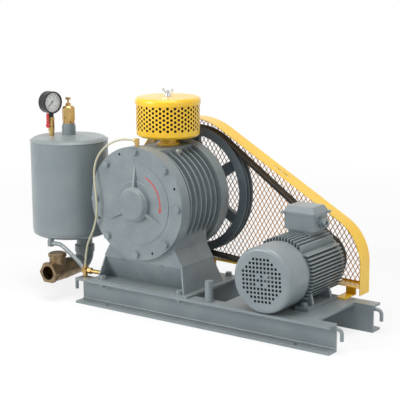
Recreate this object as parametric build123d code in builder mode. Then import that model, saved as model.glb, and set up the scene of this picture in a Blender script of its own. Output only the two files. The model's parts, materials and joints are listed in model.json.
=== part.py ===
"""Belt-driven rotary vane vacuum pump on a steel skid.

Millimetres, +X along the skid from the separator tank to the motor, +Y to the
belt side, +Z up.  The origin lies on the floor midway between the two rails.
"""
import os
from math import acos, asin, atan2, cos, degrees, hypot, radians, sin, sqrt, tan

from build123d import *

os.makedirs("parts", exist_ok=True)

# ---------------------------------------------------------------- fits
running_gap = 0.3        # between a turning piece and the one that houses it
bearing_fit = 0.03       # radial, shaft in its bush or bearing
bolt_clearance = 0.5     # radial, screw in a drilled hole
belt_gap = 0.35          # belt flank to groove flank

# ---------------------------------------------------------------- skid
rail_length = 845
rail_height = 75
rail_flange = 40
rail_web_t = 5
rail_flange_t = 6.5
rail_root_r = 4.5
rail_gap = 192           # clear width between the two webs
anchor_x = 315
anchor_r = 7
hook_rod_r = 5
hook_reach = 20          # how far a hook stands past the rail end
hook_drop = 30
hook_root = 30           # length welded inside the channel

# ---------------------------------------------------------------- pedestal under the pump
foot_plate_t = 5
foot_plate_length = 345
foot_plate_width = 268
pedestal_wall = 4
pedestal_top = 148
pedestal_top_length = 275
pedestal_slope = 17      # how far each end face leans out
pedestal_front_lean = -33
pedestal_rear_lean = 24
base_offset = 9          # the casing base sits this far right of the shaft
foot_bolt_inset = 35
end_plate_reach = 122
notch_r = 5
foot_bolt_r = 6

# ---------------------------------------------------------------- pump casing
pump_x = -204.5
pump_z = 315.5
casing_front = -106
casing_rear = 87
flange_r = 159
flange_t = 22
barrel_r = 140
fin_r = 152
fin_t = 5
fin_pitch = 23.5
fin_count = 6
bore_r = 122
eccentricity = 7
eccentric_angle = -45    # direction from the shaft to the bore centre
base_depth = 148
base_edge = 5
base_taper = 24
base_shoulder_z = 193
cover_t = 15
cover_bolt_circle = 145
cover_bolt_count = 8
cover_bolt_r = 5
plateau_r = 65
plateau_t = 3
panel_r = 114            # raised round panel on the front cover
panel_t = 1.5
boss_r = 48.5
boss_length = 17
cap_t = 7
rib_reach = 106
rib_t = 9
cap_spigot = 9           # how far the bearing cap enters the boss
rib_height = 14          # of a cover rib, at the boss
jack_x = 39.5            # jacking screw in the near rail
jack_y = -116
jack_hole_r = 4

# ---------------------------------------------------------------- shaft and rotor
shaft_r = 15
bearing_r = 31
bearing_width = 17
vane_count = 4
vane_t = 8
vane_depth = 44
slot_gap = 0.1
seal_width = 8
hub_r = 42
vane_phase = 20          # turn of the rotor as drawn, degrees
vane_offset = 18         # slot's distance from a radial line

# ---------------------------------------------------------------- belt drive
drive_front = 148        # front faces of both pulleys
pulley_width = 35
groove_pitch = 15
groove_count = 2
groove_depth = 12
groove_angle = 38
belt_top = 12.7
belt_height = 10
flywheel_r = 187.5
rim_t = 25
spoke_count = 6
spoke_phase = 31
spoke_width = 30
spoke_t = 14
pulley_r = 70
motor_hub_r = 27
belt_proud = 1           # belt top above the pulley rim

# ---------------------------------------------------------------- motor
motor_x = 222.5
shaft_height = 90
motor_front = -140
motor_rear = 140
motor_core_r = 82
motor_fin_r = 97
motor_fin_t = 3.2
motor_fin_count = 13
fan_cover_depth = 86
fan_cover_r = 89
fan_disc_r = 78
fan_cover_t = 2
grille_hole = 7
grille_pitch = 11.2
grille_rows = 11
motor_shaft_r = 12
foot_spread = 140        # across the bolt centres
foot_base = 125          # along the bolt centres
foot_setback = 56        # drive end face to the first bolt
foot_t = 11
motor_bolt_r = 5
motor_plate_t = 6
motor_plate_length = 289
slot_travel = 16
shield_t = 14            # end shield
motor_fin_pitch = 9.4
foot_pad = 40            # width of one foot
foot_length = 155
foot_rib_spread = 92
foot_rib_t = 8
stator_r = 72
motor_bearing_r = 26
motor_bearing_width = 15
core_length = 110        # stator and rotor packs
motor_rotor_r = 44.7
fan_front = -112         # front edge of the fan
fan_width = 36
fan_r = 68
fan_blades = 7
fan_cover_round = 14
grille_turn = 3.3        # tilt of the grille, degrees

# ---------------------------------------------------------------- terminal box
box_length = 94
box_depth = 75
box_bottom = 266
box_height = 42
lid_height = 22
lid_chamfer = 11
gland_r = 11
cable_r = 5.5
box_x = 225.5            # centre of the box
box_y = 74
lug_r = 8                # corner lug of the lid

# ---------------------------------------------------------------- belt guard
guard_front = 142
guard_depth = 52
guard_t = 2
guard_r = 212
guard_motor_r = 132
guard_motor_shift = 2.5
mesh_t = 1.6
mesh_pitch_x = 34
mesh_pitch_z = 52
strand = 5
guard_corner = -110.2    # where the round end meets the bottom strip, degrees
guard_floor = 100        # underside of the bottom strip
gap_left = -45           # open stretch below the motor pulley
gap_right = 275
leg_foot = 80            # lower end of the leg
sight_offset = 215       # slot in the top run, from its high end
sight_length = 57
sight_width = 6
mesh_mid_x = -30         # centre of the diamond pattern
mesh_mid_z = 280
mesh_columns = 24
mesh_rows = 9
bracket_left_x = -150    # feet that bolt the guard down
bracket_right_x = 318
bracket_width = 30
bracket_t = 4
bracket_y = 166

# ---------------------------------------------------------------- intake filter
filter_y = 30
filter_r = 90
filter_bottom = 488
filter_height = 92
filter_sheet = 1.5
filter_cap_r = 93
filter_cap_h = 19
filter_neck_r = 24
intake_top = 464
intake_bore_r = 20
perforation = 9
perforation_columns = 28
perforation_rows = 4
stud_r = 4
plug_drop = 11.4         # below the intake flange
pan_h = 17               # skirt of the filter base
element_r = 62           # pleated cartridge
element_bore_r = 42
cap_round = 11           # edge radius of the lid
stud_reach = 17          # stud above the lid
wing_t = 3               # wing nut
wing_reach = 19

# ---------------------------------------------------------------- separator tank
tank_x = -545
tank_y = -10
tank_r = 115
tank_bottom = 168
tank_top = 470
tank_wall = 4
tank_knuckle = 22
pipe_r = 24              # 1 1/2 inch pipe
pipe_bore_r = 20.5
discharge_z = 305
outlet_offset = 51
head_rise = 17           # weld seam below the top
head_crown = 7           # rise of the domed head
seam_low = 10            # lower weld seam above the bottom
drain_x = -536           # oil outlet under the tank
drain_y = -112
drain_z = 158
collar_bottom = 120      # socket between the pipe and the elbow
collar_h = 20
collar_r = 29.5
elbow_r = 26.5           # outside of the outlet elbow
bend_r = 34              # its centre line
elbow_run = 16           # straight end of the elbow

# ---------------------------------------------------------------- check valve
spigot = 10              # depth of a screwed pipe end
valve_length = 114       # end to end
valve_r = 30             # outside of the body
valve_hex = 56           # across the flats of the inlet end
seat_offset = 46         # seat from the back end
chamber_r = 26           # flap chamber
chamber_length = 52
hex_t = 14               # length of the hexagon
neck_r = 24
neck_bore_r = 20.5
neck_top = 128           # cap seat
hinge_pin_r = 2.5
cap_r = 26.5
cap_ribs = 12            # grip flutes round the cap
flap_r = 23
flap_t = 4
flap_arm = 8             # width of the arm

# ---------------------------------------------------------------- relief valve
socket_r = 20.5          # welded socket under the valve
relief_bore_r = 9
relief_z = 502.6         # underside of the body
relief_h = 50.8          # height of the body
relief_hex = 33          # across the flats
poppet_r = 11
locknut = 14             # across the flats
stem_r = 3
stem_top = 577           # pull knob

# ---------------------------------------------------------------- gauge and its cock
gauge_x = -580           # stem of the cock and gauge
gauge_y = -47
cock_bore_r = 6
cock_z = 480             # foot of the cock
cock_h = 42
cock_r = 9
lever_z = 498            # axis of the ball
ball_r = 7
lever_pin_r = 2.5
lever_length = 37        # pivot to end
gauge_turn = -10         # which way the dial faces, degrees from +X
gauge_r = 32.5
gauge_depth = 32
gauge_front = 12         # dial side of the case ahead of its stem
dial_recess = 8          # dial behind the front of the case
bezel_w = 3.5            # rim round the glass
needle_pin_r = 1
needle_rest = 222        # needle at zero, degrees

# ---------------------------------------------------------------- oil line
oil_bore_r = 4           # drilled ports
cover_fitting_x = -203   # fitting on top of the front cover
tube_start_z = 492       # lower end of the nylon tube at that fitting
tee_x = -405             # tee beside the pedestal
tee_y = -110
tee_z = 95
tee_r = 9
return_r = 6.2           # steel return pipe
tube_r = 3               # nylon tube

# ---------------------------------------------------------------- derived places
rail_half = rail_gap / 2
rail_outer = rail_half + rail_flange
hole_y = rail_half + rail_web_t + (rail_flange - rail_web_t) / 2
base_x = pump_x + base_offset
foot_bolt_x = foot_plate_length / 2 - foot_bolt_inset
foot_top = rail_height + foot_plate_t
cover_front = casing_front - cover_t
cover_rear = casing_rear + cover_t
boss_front = cover_front - boss_length
boss_rear = cover_rear + boss_length
bore_x = pump_x + eccentricity * cos(radians(eccentric_angle))
bore_z = pump_z + eccentricity * sin(radians(eccentric_angle))
rotor_r = bore_r - eccentricity - running_gap
drive_rear = drive_front + pulley_width
motor_z = rail_height + shaft_height


def upright(x, y, z):
    """Plane facing the front: local x is +X and local y is +Z."""
    return Plane(origin=(x, y, z), x_dir=(1, 0, 0), z_dir=(0, -1, 0))


def lengthwise(x, y, z):
    """Plane through a front-to-back axis: local x is +Y and local y is +Z."""
    return Plane(origin=(x, y, z), x_dir=(0, 1, 0), z_dir=(1, 0, 0))


def front_axis(x, z):
    """Axis running front to back through x, z."""
    return Axis((x, 0, z), (0, 1, 0))


def post_axis(x, y):
    """Vertical axis through x, y."""
    return Axis((x, y, 0), (0, 0, 1))


def hex_head(across, height, shank_r, shank, washer_r=0.0, washer_t=0.0):
    """Hexagon-headed screw: the head stands on z = 0 and the shank hangs below."""
    with BuildPart() as screw:
        if washer_t:
            Cylinder(washer_r, washer_t, align=(Align.CENTER, Align.CENTER, Align.MIN))
        with BuildSketch(Plane.XY.offset(washer_t)):
            RegularPolygon(across / 2, 6, major_radius=False)
        extrude(amount=height)
        Cylinder(shank_r, shank, align=(Align.CENTER, Align.CENTER, Align.MAX))
    return screw.part


# ================================================================ skid
with BuildPart() as rails:
    for side in (-1, 1):
        with BuildSketch(Plane.YZ.offset(-rail_length / 2)) as channel:
            with BuildLine():
                Polyline(
                    (side * rail_half, 0),
                    (side * rail_outer, 0),
                    (side * rail_outer, rail_flange_t),
                    (side * (rail_half + rail_web_t), rail_flange_t),
                    (side * (rail_half + rail_web_t), rail_height - rail_flange_t),
                    (side * rail_outer, rail_height - rail_flange_t),
                    (side * rail_outer, rail_height),
                    (side * rail_half, rail_height),
                    close=True,
                )
            make_face()
            roots = channel.vertices().filter_by_position(
                Axis.Y, rail_flange_t, rail_height - rail_flange_t
            ).group_by(Axis.X)[0 if side > 0 else -1]
            fillet(roots, rail_root_r)
        extrude(amount=rail_length)
    with BuildSketch(Plane.XY):
        with GridLocations(2 * anchor_x, 2 * hole_y, 2, 2):
            Circle(anchor_r)
    extrude(amount=rail_flange_t, mode=Mode.SUBTRACT)
    with BuildSketch(Plane.XY.offset(rail_height)):
        with Locations((base_x, 0)):
            with GridLocations(2 * foot_bolt_x, 2 * hole_y, 2, 2):
                Circle(foot_bolt_r)
    extrude(amount=-rail_flange_t, mode=Mode.SUBTRACT)
rails.part.label = "skid_rails"
export_step(rails.part, "parts/skid_rails.step")

with BuildPart() as hooks:
    for end in (-1, 1):
        for side in (-1, 1):
            root_y = side * (rail_half + rail_web_t + hook_rod_r)
            root_z = rail_height - rail_flange_t - hook_rod_r
            root_x = end * (rail_length / 2 - hook_root)
            tip_x = end * (rail_length / 2 + hook_reach)
            with BuildLine() as rod_line:
                FilletPolyline(
                    (root_x, root_y, root_z),
                    (tip_x, root_y, root_z),
                    (tip_x, root_y, root_z - hook_drop),
                    radius=2.4 * hook_rod_r,
                )
            with BuildSketch(Plane((root_x, root_y, root_z), x_dir=(0, 1, 0), z_dir=(end, 0, 0))):
                Circle(hook_rod_r)
            sweep(path=rod_line.line)
hooks.part.label = "lashing_hooks"
export_step(hooks.part, "parts/lashing_hooks.step")

with BuildPart() as motor_plate:
    with Locations((motor_x, 0, rail_height - motor_plate_t)):
        Box(
            motor_plate_length, rail_gap, motor_plate_t,
            align=(Align.CENTER, Align.CENTER, Align.MIN),
        )
    with BuildSketch(Plane.XY.offset(rail_height)):
        with Locations((motor_x, motor_rear - foot_setback - foot_base / 2)):
            with GridLocations(foot_spread, foot_base, 2, 2):
                SlotCenterToCenter(2 * slot_travel, 2 * (motor_bolt_r + bolt_clearance))
    extrude(amount=-motor_plate_t, mode=Mode.SUBTRACT)
motor_plate.part.label = "motor_plate"
export_step(motor_plate.part, "parts/motor_plate.step")

# ---------------------------------------------------------------- pedestal
with BuildPart() as pedestal:
    for inset in (0, pedestal_wall):
        low_length = pedestal_top_length + 2 * pedestal_slope - 2 * inset
        low_front = casing_front - pedestal_front_lean + inset
        low_rear = casing_front + base_depth + pedestal_rear_lean - inset
        with BuildSketch(Plane.XY.offset(foot_top)):
            with Locations((base_x, (low_front + low_rear) / 2)):
                Rectangle(low_length, low_rear - low_front)
        with BuildSketch(Plane.XY.offset(pedestal_top - inset)):
            with Locations((base_x, casing_front + base_depth / 2)):
                Rectangle(pedestal_top_length - 2 * inset, base_depth - 2 * inset)
        loft(mode=Mode.SUBTRACT if inset else Mode.ADD)
    # end plates running forward to the edge of the foot plate
    for end in (-1, 1):
        low_x = end * (pedestal_top_length / 2 + pedestal_slope - pedestal_wall / 2)
        top_x = end * (pedestal_top_length / 2 - pedestal_wall / 2)
        with BuildSketch(Plane.XY.offset(foot_top)):
            with Locations((base_x + low_x, (low_front - end_plate_reach) / 2 - pedestal_wall / 2)):
                Rectangle(pedestal_wall, end_plate_reach + low_front - pedestal_wall)
        with BuildSketch(Plane.XY.offset(pedestal_top)):
            with Locations((base_x + top_x, casing_front + 10)):
                Rectangle(pedestal_wall, 20)
        loft()
    with Locations((base_x, 0, rail_height)):
        Box(
            foot_plate_length, foot_plate_width, foot_plate_t,
            align=(Align.CENTER, Align.CENTER, Align.MIN),
        )
    with BuildSketch(Plane.XY.offset(foot_top)):
        with Locations((base_x, 0)):
            with GridLocations(2 * foot_bolt_x, 2 * hole_y, 2, 2):
                Circle(foot_bolt_r)
    extrude(amount=-foot_plate_t, mode=Mode.SUBTRACT)
    # wrench notches under the front edge of the top
    with BuildSketch(Plane.XY.offset(pedestal_top)):
        with Locations((base_x, casing_front)):
            with GridLocations(pedestal_top_length / 2, 1, 2, 1):
                Circle(notch_r)
    extrude(amount=-notch_r, mode=Mode.SUBTRACT)
pedestal.part.label = "pump_pedestal"
export_step(pedestal.part, "parts/pump_pedestal.step")

foot_bolt = hex_head(17, 9, foot_bolt_r, foot_plate_t + rail_flange_t + 12, 11, 2)
with BuildPart() as foot_bolts:
    with Locations((base_x, 0, foot_top)):
        with GridLocations(2 * foot_bolt_x, 2 * hole_y, 2, 2):
            add(foot_bolt)
    with BuildSketch(Plane.XY.offset(rail_height - rail_flange_t)):
        with Locations((base_x, 0)):
            with GridLocations(2 * foot_bolt_x, 2 * hole_y, 2, 2):
                RegularPolygon(8.5, 6, major_radius=False)
    extrude(amount=-9)
foot_bolts.part.label = "pedestal_bolts"
export_step(foot_bolts.part, "parts/pedestal_bolts.step")

# ================================================================ pump casing
barrel_mid = (casing_front + casing_rear) / 2
with BuildPart() as casing:
    with BuildSketch(lengthwise(pump_x, 0, pump_z)):
        with BuildLine():
            Polyline(
                (casing_front, 0), (casing_rear, 0), (casing_rear, flange_r),
                (casing_rear - flange_t, flange_r), (casing_rear - flange_t, barrel_r),
                (casing_front + flange_t, barrel_r), (casing_front + flange_t, flange_r),
                (casing_front, flange_r), close=True,
            )
        make_face()
        with Locations((barrel_mid, (barrel_r + fin_r) / 2 - 2)):
            with GridLocations(fin_pitch, 1, fin_count, 1):
                Rectangle(fin_t, fin_r - barrel_r + 4)
    revolve(axis=front_axis(pump_x, pump_z))
    # foot of the casting, flaring out to the pedestal
    with BuildSketch(upright(base_x, casing_front, 0)):
        with BuildLine():
            half = pedestal_top_length / 2
            Polyline(
                (-half, pedestal_top), (half, pedestal_top),
                (half, pedestal_top + base_edge), (half - base_taper, base_shoulder_z),
                (half - base_taper, pump_z - barrel_r / 2),
                (base_taper - half, pump_z - barrel_r / 2),
                (base_taper - half, base_shoulder_z), (-half, pedestal_top + base_edge),
                close=True,
            )
        make_face()
    extrude(amount=-base_depth)
    # saddle on top for the filter
    with BuildSketch(Plane.XY.offset(pump_z)):
        with Locations((pump_x + 6, (casing_front + flange_t + casing_rear - flange_t) / 2)):
            Rectangle(100, casing_rear - casing_front - 2 * flange_t)
    extrude(amount=intake_top - pump_z)
    with BuildSketch(Plane.XY.offset(intake_top)):
        with Locations((pump_x + 6, (casing_front + flange_t + casing_rear - flange_t) / 2)):
            Rectangle(100, casing_rear - casing_front - 2 * flange_t)
    extrude(amount=fin_r - barrel_r, mode=Mode.SUBTRACT)
    # discharge boss on the tank side
    with BuildSketch(Plane.YZ.offset(pump_x - barrel_r + 20)):
        with Locations((tank_y, discharge_z)):
            Circle(pipe_r + 10)
    extrude(amount=-(flange_r - barrel_r + 28))
    with BuildSketch(upright(0, casing_front, 0)):
        with Locations((bore_x, bore_z)):
            Circle(bore_r)
    extrude(amount=casing_front - casing_rear, mode=Mode.SUBTRACT)
    with BuildSketch(Plane.XY.offset(pump_z)):
        with Locations((pump_x, filter_y)):
            Circle(intake_bore_r)
    extrude(amount=intake_top - pump_z, mode=Mode.SUBTRACT)
    with BuildSketch(Plane.YZ.offset(pump_x)):
        with Locations((tank_y, discharge_z)):
            Circle(intake_bore_r)
    extrude(amount=-(flange_r + 10), mode=Mode.SUBTRACT)
    with BuildSketch(Plane.YZ.offset(pump_x - flange_r + 16)):
        with Locations((tank_y, discharge_z)):
            Circle(pipe_r)
    extrude(amount=-40, mode=Mode.SUBTRACT)
    for face_y, depth in ((casing_front, flange_t - 4), (casing_rear, 4 - flange_t)):
        with BuildSketch(upright(pump_x, face_y, pump_z)):
            with PolarLocations(cover_bolt_circle, cover_bolt_count):
                Circle(cover_bolt_r)
        extrude(amount=-depth, mode=Mode.SUBTRACT)
casing.part.label = "pump_casing"
export_step(casing.part, "parts/pump_casing.step")

# ---------------------------------------------------------------- end covers
with BuildPart() as front_cover:
    with BuildSketch(lengthwise(pump_x, 0, pump_z)):
        with BuildLine():
            Polyline(
                (casing_front, shaft_r + running_gap), (casing_front, flange_r),
                (cover_front, flange_r), (cover_front, panel_r),
                (cover_front - panel_t, panel_r), (cover_front - panel_t, plateau_r),
                (cover_front - plateau_t, plateau_r - 2), (cover_front - plateau_t, boss_r),
                (boss_front + 4, boss_r), (boss_front, boss_r - 4), (boss_front, bearing_r),
                (boss_front + cap_spigot + bearing_width, bearing_r),
                (boss_front + cap_spigot + bearing_width, shaft_r + running_gap),
                close=True,
            )
        make_face()
    revolve(axis=front_axis(pump_x, pump_z))
    # three tapering ribs between the boss and the rim
    for angle in (90, 210, 330):
        way = Vector(cos(radians(angle)), 0, sin(radians(angle)))
        for reach, width, height in ((boss_r - 4, rib_t, rib_height), (rib_reach, 2.5, 2)):
            foot = Vector(pump_x, cover_front, pump_z) + way * reach
            with BuildSketch(Plane(foot, x_dir=(-way.Z, 0, way.X), z_dir=tuple(way))):
                with Locations((0, height / 2)):
                    Rectangle(width, height)
        loft()
    with BuildSketch(upright(pump_x, casing_front, pump_z)):
        with PolarLocations(cover_bolt_circle, cover_bolt_count):
            Circle(cover_bolt_r + bolt_clearance)
    extrude(amount=cover_t, mode=Mode.SUBTRACT)
    # jacking holes between the bolts, used to break the joint
    with BuildSketch(upright(pump_x, cover_front, pump_z)):
        with PolarLocations(cover_bolt_circle, 4, start_angle=22.5):
            Circle(jack_hole_r)
    extrude(amount=-cover_t + 3, mode=Mode.SUBTRACT)
front_cover.part.label = "front_cover"
export_step(front_cover.part, "parts/front_cover.step")

with BuildPart() as rear_cover:
    with BuildSketch(lengthwise(pump_x, 0, pump_z)):
        with BuildLine():
            Polyline(
                (casing_rear, shaft_r + running_gap), (casing_rear, flange_r),
                (cover_rear, flange_r), (cover_rear, boss_r), (boss_rear - 4, boss_r),
                (boss_rear, boss_r - 4), (boss_rear, bearing_r),
                (boss_rear - seal_width - bearing_width, bearing_r),
                (boss_rear - seal_width - bearing_width, shaft_r + running_gap),
                close=True,
            )
        make_face()
    revolve(axis=front_axis(pump_x, pump_z))
    with BuildSketch(upright(pump_x, cover_rear, pump_z)):
        with PolarLocations(cover_bolt_circle, cover_bolt_count):
            Circle(cover_bolt_r + bolt_clearance)
    extrude(amount=cover_t, mode=Mode.SUBTRACT)
rear_cover.part.label = "rear_cover"
export_step(rear_cover.part, "parts/rear_cover.step")

cover_bolt = hex_head(17, 7, cover_bolt_r, cover_t + 14, 10.5, 1.5)
with BuildPart() as cover_bolts:
    with Locations(upright(pump_x, cover_front, pump_z)):
        with PolarLocations(cover_bolt_circle, cover_bolt_count):
            add(cover_bolt)
    with Locations(Plane((pump_x, cover_rear, pump_z), x_dir=(1, 0, 0), z_dir=(0, 1, 0))):
        with PolarLocations(cover_bolt_circle, cover_bolt_count):
            add(cover_bolt)
cover_bolts.part.label = "cover_bolts"
export_step(cover_bolts.part, "parts/cover_bolts.step")

with BuildPart() as bearing_cap:
    with BuildSketch(lengthwise(pump_x, 0, pump_z)):
        with BuildLine():
            Polyline(
                (boss_front + cap_spigot, 0), (boss_front + cap_spigot, bearing_r),
                (boss_front, bearing_r), (boss_front, boss_r - 4), (boss_front - cap_t + 4, boss_r - 4),
                (boss_front - cap_t, boss_r - 8), (boss_front - cap_t, 0), close=True,
            )
        make_face()
    revolve(axis=front_axis(pump_x, pump_z))
    with BuildSketch(upright(pump_x, boss_front + cap_spigot, pump_z)):
        Circle(shaft_r + 4)
    extrude(amount=cap_spigot, mode=Mode.SUBTRACT)
bearing_cap.part.label = "bearing_cap"
export_step(bearing_cap.part, "parts/bearing_cap.step")

with BuildPart() as pump_bearings:
    for near in (boss_front + cap_spigot, boss_rear - seal_width - bearing_width):
        with BuildSketch(lengthwise(pump_x, near, pump_z)):
            with Locations((bearing_width / 2, (shaft_r + bearing_fit + bearing_r) / 2)):
                Rectangle(bearing_width, bearing_r - shaft_r - bearing_fit)
        revolve(axis=front_axis(pump_x, pump_z))
pump_bearings.part.label = "pump_bearings"
export_step(pump_bearings.part, "parts/pump_bearings.step")

with BuildPart() as shaft_seal:
    with BuildSketch(lengthwise(pump_x, boss_rear - seal_width, pump_z)):
        with Locations((seal_width / 2, (shaft_r + running_gap + bearing_r) / 2)):
            Rectangle(seal_width, bearing_r - shaft_r - running_gap)
    revolve(axis=front_axis(pump_x, pump_z))
shaft_seal.part.label = "shaft_seal"
export_step(shaft_seal.part, "parts/shaft_seal.step")

# ---------------------------------------------------------------- rotor and vanes
rotor_front = casing_front + running_gap
rotor_length = casing_rear - casing_front - 2 * running_gap
vane_reach = sqrt(rotor_r**2 - (vane_offset + vane_t / 2 + slot_gap) ** 2)
with BuildPart() as rotor:
    with BuildSketch(upright(pump_x, rotor_front, pump_z)):
        Circle(rotor_r)
        Circle(shaft_r, mode=Mode.SUBTRACT)
        with PolarLocations(0, vane_count, start_angle=vane_phase):
            with Locations((rotor_r - vane_depth / 2 + 1, vane_offset)):
                Rectangle(
                    vane_depth + 2 * (rotor_r - vane_reach) + 2, vane_t + 2 * slot_gap,
                    mode=Mode.SUBTRACT,
                )
    extrude(amount=-rotor_length)
rotor.part.label = "rotor"
export_step(rotor.part, "parts/rotor.step")

slot_floor = rotor_r - vane_depth - (rotor_r - vane_reach)
with BuildPart() as vanes:
    with BuildSketch(upright(pump_x, rotor_front, pump_z)):
        with PolarLocations(0, vane_count, start_angle=vane_phase):
            with Locations((slot_floor + vane_depth / 2 - 0.5, vane_offset)):
                Rectangle(vane_depth - 1, vane_t)
    extrude(amount=-rotor_length)
vanes.part.label = "vanes"
export_step(vanes.part, "parts/vanes.step")

with BuildPart() as rotor_shaft:
    with BuildSketch(lengthwise(pump_x, 0, pump_z)):
        with BuildLine():
            Polyline(
                (boss_front + cap_spigot + 1, 0), (boss_front + cap_spigot + 1, shaft_r - 1),
                (boss_front + cap_spigot + 2, shaft_r), (drive_rear + 3, shaft_r),
                (drive_rear + 4, shaft_r - 1), (drive_rear + 4, 0), close=True,
            )
        make_face()
    revolve(axis=front_axis(pump_x, pump_z))
rotor_shaft.part.label = "rotor_shaft"
export_step(rotor_shaft.part, "parts/rotor_shaft.step")

# ================================================================ belt drive
half_groove = belt_top / 2 + belt_gap - belt_proud * tan(radians(groove_angle / 2))
groove_floor = half_groove - groove_depth * tan(radians(groove_angle / 2))
drive_mid = drive_front + pulley_width / 2


def sheave(x, z, outer_r, web_r):
    """Ring of a V-belt pulley from its web radius out, with the belt grooves cut."""
    with BuildPart() as ring:
        with BuildSketch(lengthwise(x, drive_mid, z)):
            with Locations((0, (outer_r + web_r) / 2)):
                Rectangle(pulley_width, outer_r - web_r)
            for number in range(groove_count):
                middle = (number - (groove_count - 1) / 2) * groove_pitch
                with BuildLine():
                    Polyline(
                        (middle - half_groove, outer_r), (middle + half_groove, outer_r),
                        (middle + groove_floor, outer_r - groove_depth),
                        (middle - groove_floor, outer_r - groove_depth), close=True,
                    )
                make_face(mode=Mode.SUBTRACT)
        revolve(axis=front_axis(x, z))
    return ring.part


with BuildPart() as flywheel:
    add(sheave(pump_x, pump_z, flywheel_r, flywheel_r - rim_t))
    with BuildSketch(upright(pump_x, drive_mid + spoke_t / 2, pump_z)):
        with PolarLocations(0, spoke_count, start_angle=spoke_phase):
            Polygon(
                (hub_r - 6, -spoke_width * 0.65), (flywheel_r - rim_t + 1.5, -spoke_width / 2),
                (flywheel_r - rim_t + 1.5, spoke_width / 2), (hub_r - 6, spoke_width * 0.65),
                align=None,
            )
    extrude(amount=spoke_t)
    with BuildSketch(upright(pump_x, drive_rear, pump_z)):
        Circle(hub_r)
    extrude(amount=pulley_width)
    with BuildSketch(upright(pump_x, drive_rear, pump_z)):
        Circle(shaft_r)
    extrude(amount=pulley_width, mode=Mode.SUBTRACT)
flywheel.part.label = "flywheel"
export_step(flywheel.part, "parts/flywheel.step")

with BuildPart() as motor_pulley:
    add(sheave(motor_x, motor_z, pulley_r, motor_hub_r))
    with BuildSketch(upright(motor_x, drive_rear, motor_z)):
        Circle(motor_hub_r + 0.5)
    extrude(amount=pulley_width)
    # dished face between rim and hub
    with BuildSketch(upright(motor_x, drive_rear, motor_z)):
        Circle(pulley_r - groove_depth - 7)
        Circle(motor_hub_r, mode=Mode.SUBTRACT)
    extrude(amount=10, mode=Mode.SUBTRACT)
    with BuildSketch(upright(motor_x, drive_rear, motor_z)):
        Circle(motor_shaft_r)
    extrude(amount=pulley_width, mode=Mode.SUBTRACT)
motor_pulley.part.label = "motor_pulley"
export_step(motor_pulley.part, "parts/motor_pulley.step")

def rim_point(x, z, r, angle):
    """Point at an angle on a circle, in an upright plane."""
    return (x + r * cos(radians(angle)), z + r * sin(radians(angle)))


# the belts run straight between the sheaves on their common outer tangents
motor_dx = motor_x - pump_x
motor_dz = motor_z - pump_z
span = hypot(motor_dx, motor_dz)
lean = degrees(atan2(motor_dz, motor_dx))
wrap = degrees(asin((flywheel_r - pulley_r) / span))
belt_foot = belt_top / 2 - belt_height * tan(radians(groove_angle / 2))
with BuildPart() as belts:
    for number in range(groove_count):
        belt_y = drive_mid + (number - (groove_count - 1) / 2) * groove_pitch
        big_r = flywheel_r + belt_proud - belt_height / 2
        small_r = pulley_r + belt_proud - belt_height / 2
        with BuildLine(upright(pump_x, belt_y, pump_z)) as loop:
            top_way = lean + 90 - wrap
            low_way = lean - 90 + wrap
            CenterArc((0, 0), big_r, lean + 180, top_way - lean - 180)
            Line(loop.line @ 1, rim_point(motor_dx, motor_dz, small_r, top_way))
            CenterArc((motor_dx, motor_dz), small_r, top_way, low_way - top_way)
            Line(rim_point(motor_dx, motor_dz, small_r, low_way), rim_point(0, 0, big_r, low_way))
            CenterArc((0, 0), big_r, low_way, lean - 180 - low_way)
        start = Plane(
            origin=(pump_x - big_r * cos(radians(lean)), belt_y, pump_z - big_r * sin(radians(lean))),
            x_dir=(0, 1, 0),
            z_dir=(-sin(radians(lean)), 0, cos(radians(lean))),
        )
        with BuildSketch(start):
            with BuildLine():
                Polyline(
                    (-belt_top / 2, belt_height / 2), (belt_top / 2, belt_height / 2),
                    (belt_foot, -belt_height / 2), (-belt_foot, -belt_height / 2), close=True,
                )
            make_face()
        sweep(path=loop.wire())
belts.part.label = "v_belts"
export_step(belts.part, "parts/v_belts.step")

# ================================================================ belt guard
guard_motor_x = motor_x + guard_motor_shift
guard_span = hypot(guard_motor_x - pump_x, motor_dz)
guard_way = degrees(atan2(motor_dz, guard_motor_x - pump_x) + acos((guard_r - guard_motor_r) / guard_span))
leg_x = guard_motor_x + guard_motor_r
guard_rear = guard_front + guard_depth


def guard_outline(inset):
    """Closed outline of the guard, drawn in an upright plane, moved in by inset."""
    with BuildSketch() as outline:
        with BuildLine():
            high_left = rim_point(pump_x, pump_z, guard_r - inset, guard_way)
            high_right = rim_point(guard_motor_x, motor_z, guard_motor_r - inset, guard_way)
            CenterArc(
                (pump_x, pump_z), guard_r - inset, guard_way, 360 + guard_corner - guard_way
            )
            Line(high_left, high_right)
            CenterArc((guard_motor_x, motor_z), guard_motor_r - inset, 0, guard_way)
            low_right = (leg_x - inset, guard_floor + inset)
            Line((leg_x - inset, motor_z), low_right)
            Line(low_right, rim_point(pump_x, pump_z, guard_r - inset, guard_corner))
        make_face()
    return outline.sketch


guard_outer = guard_outline(0)
guard_inner = guard_outline(guard_t)
mesh_window = guard_outline(guard_t + strand)

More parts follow.
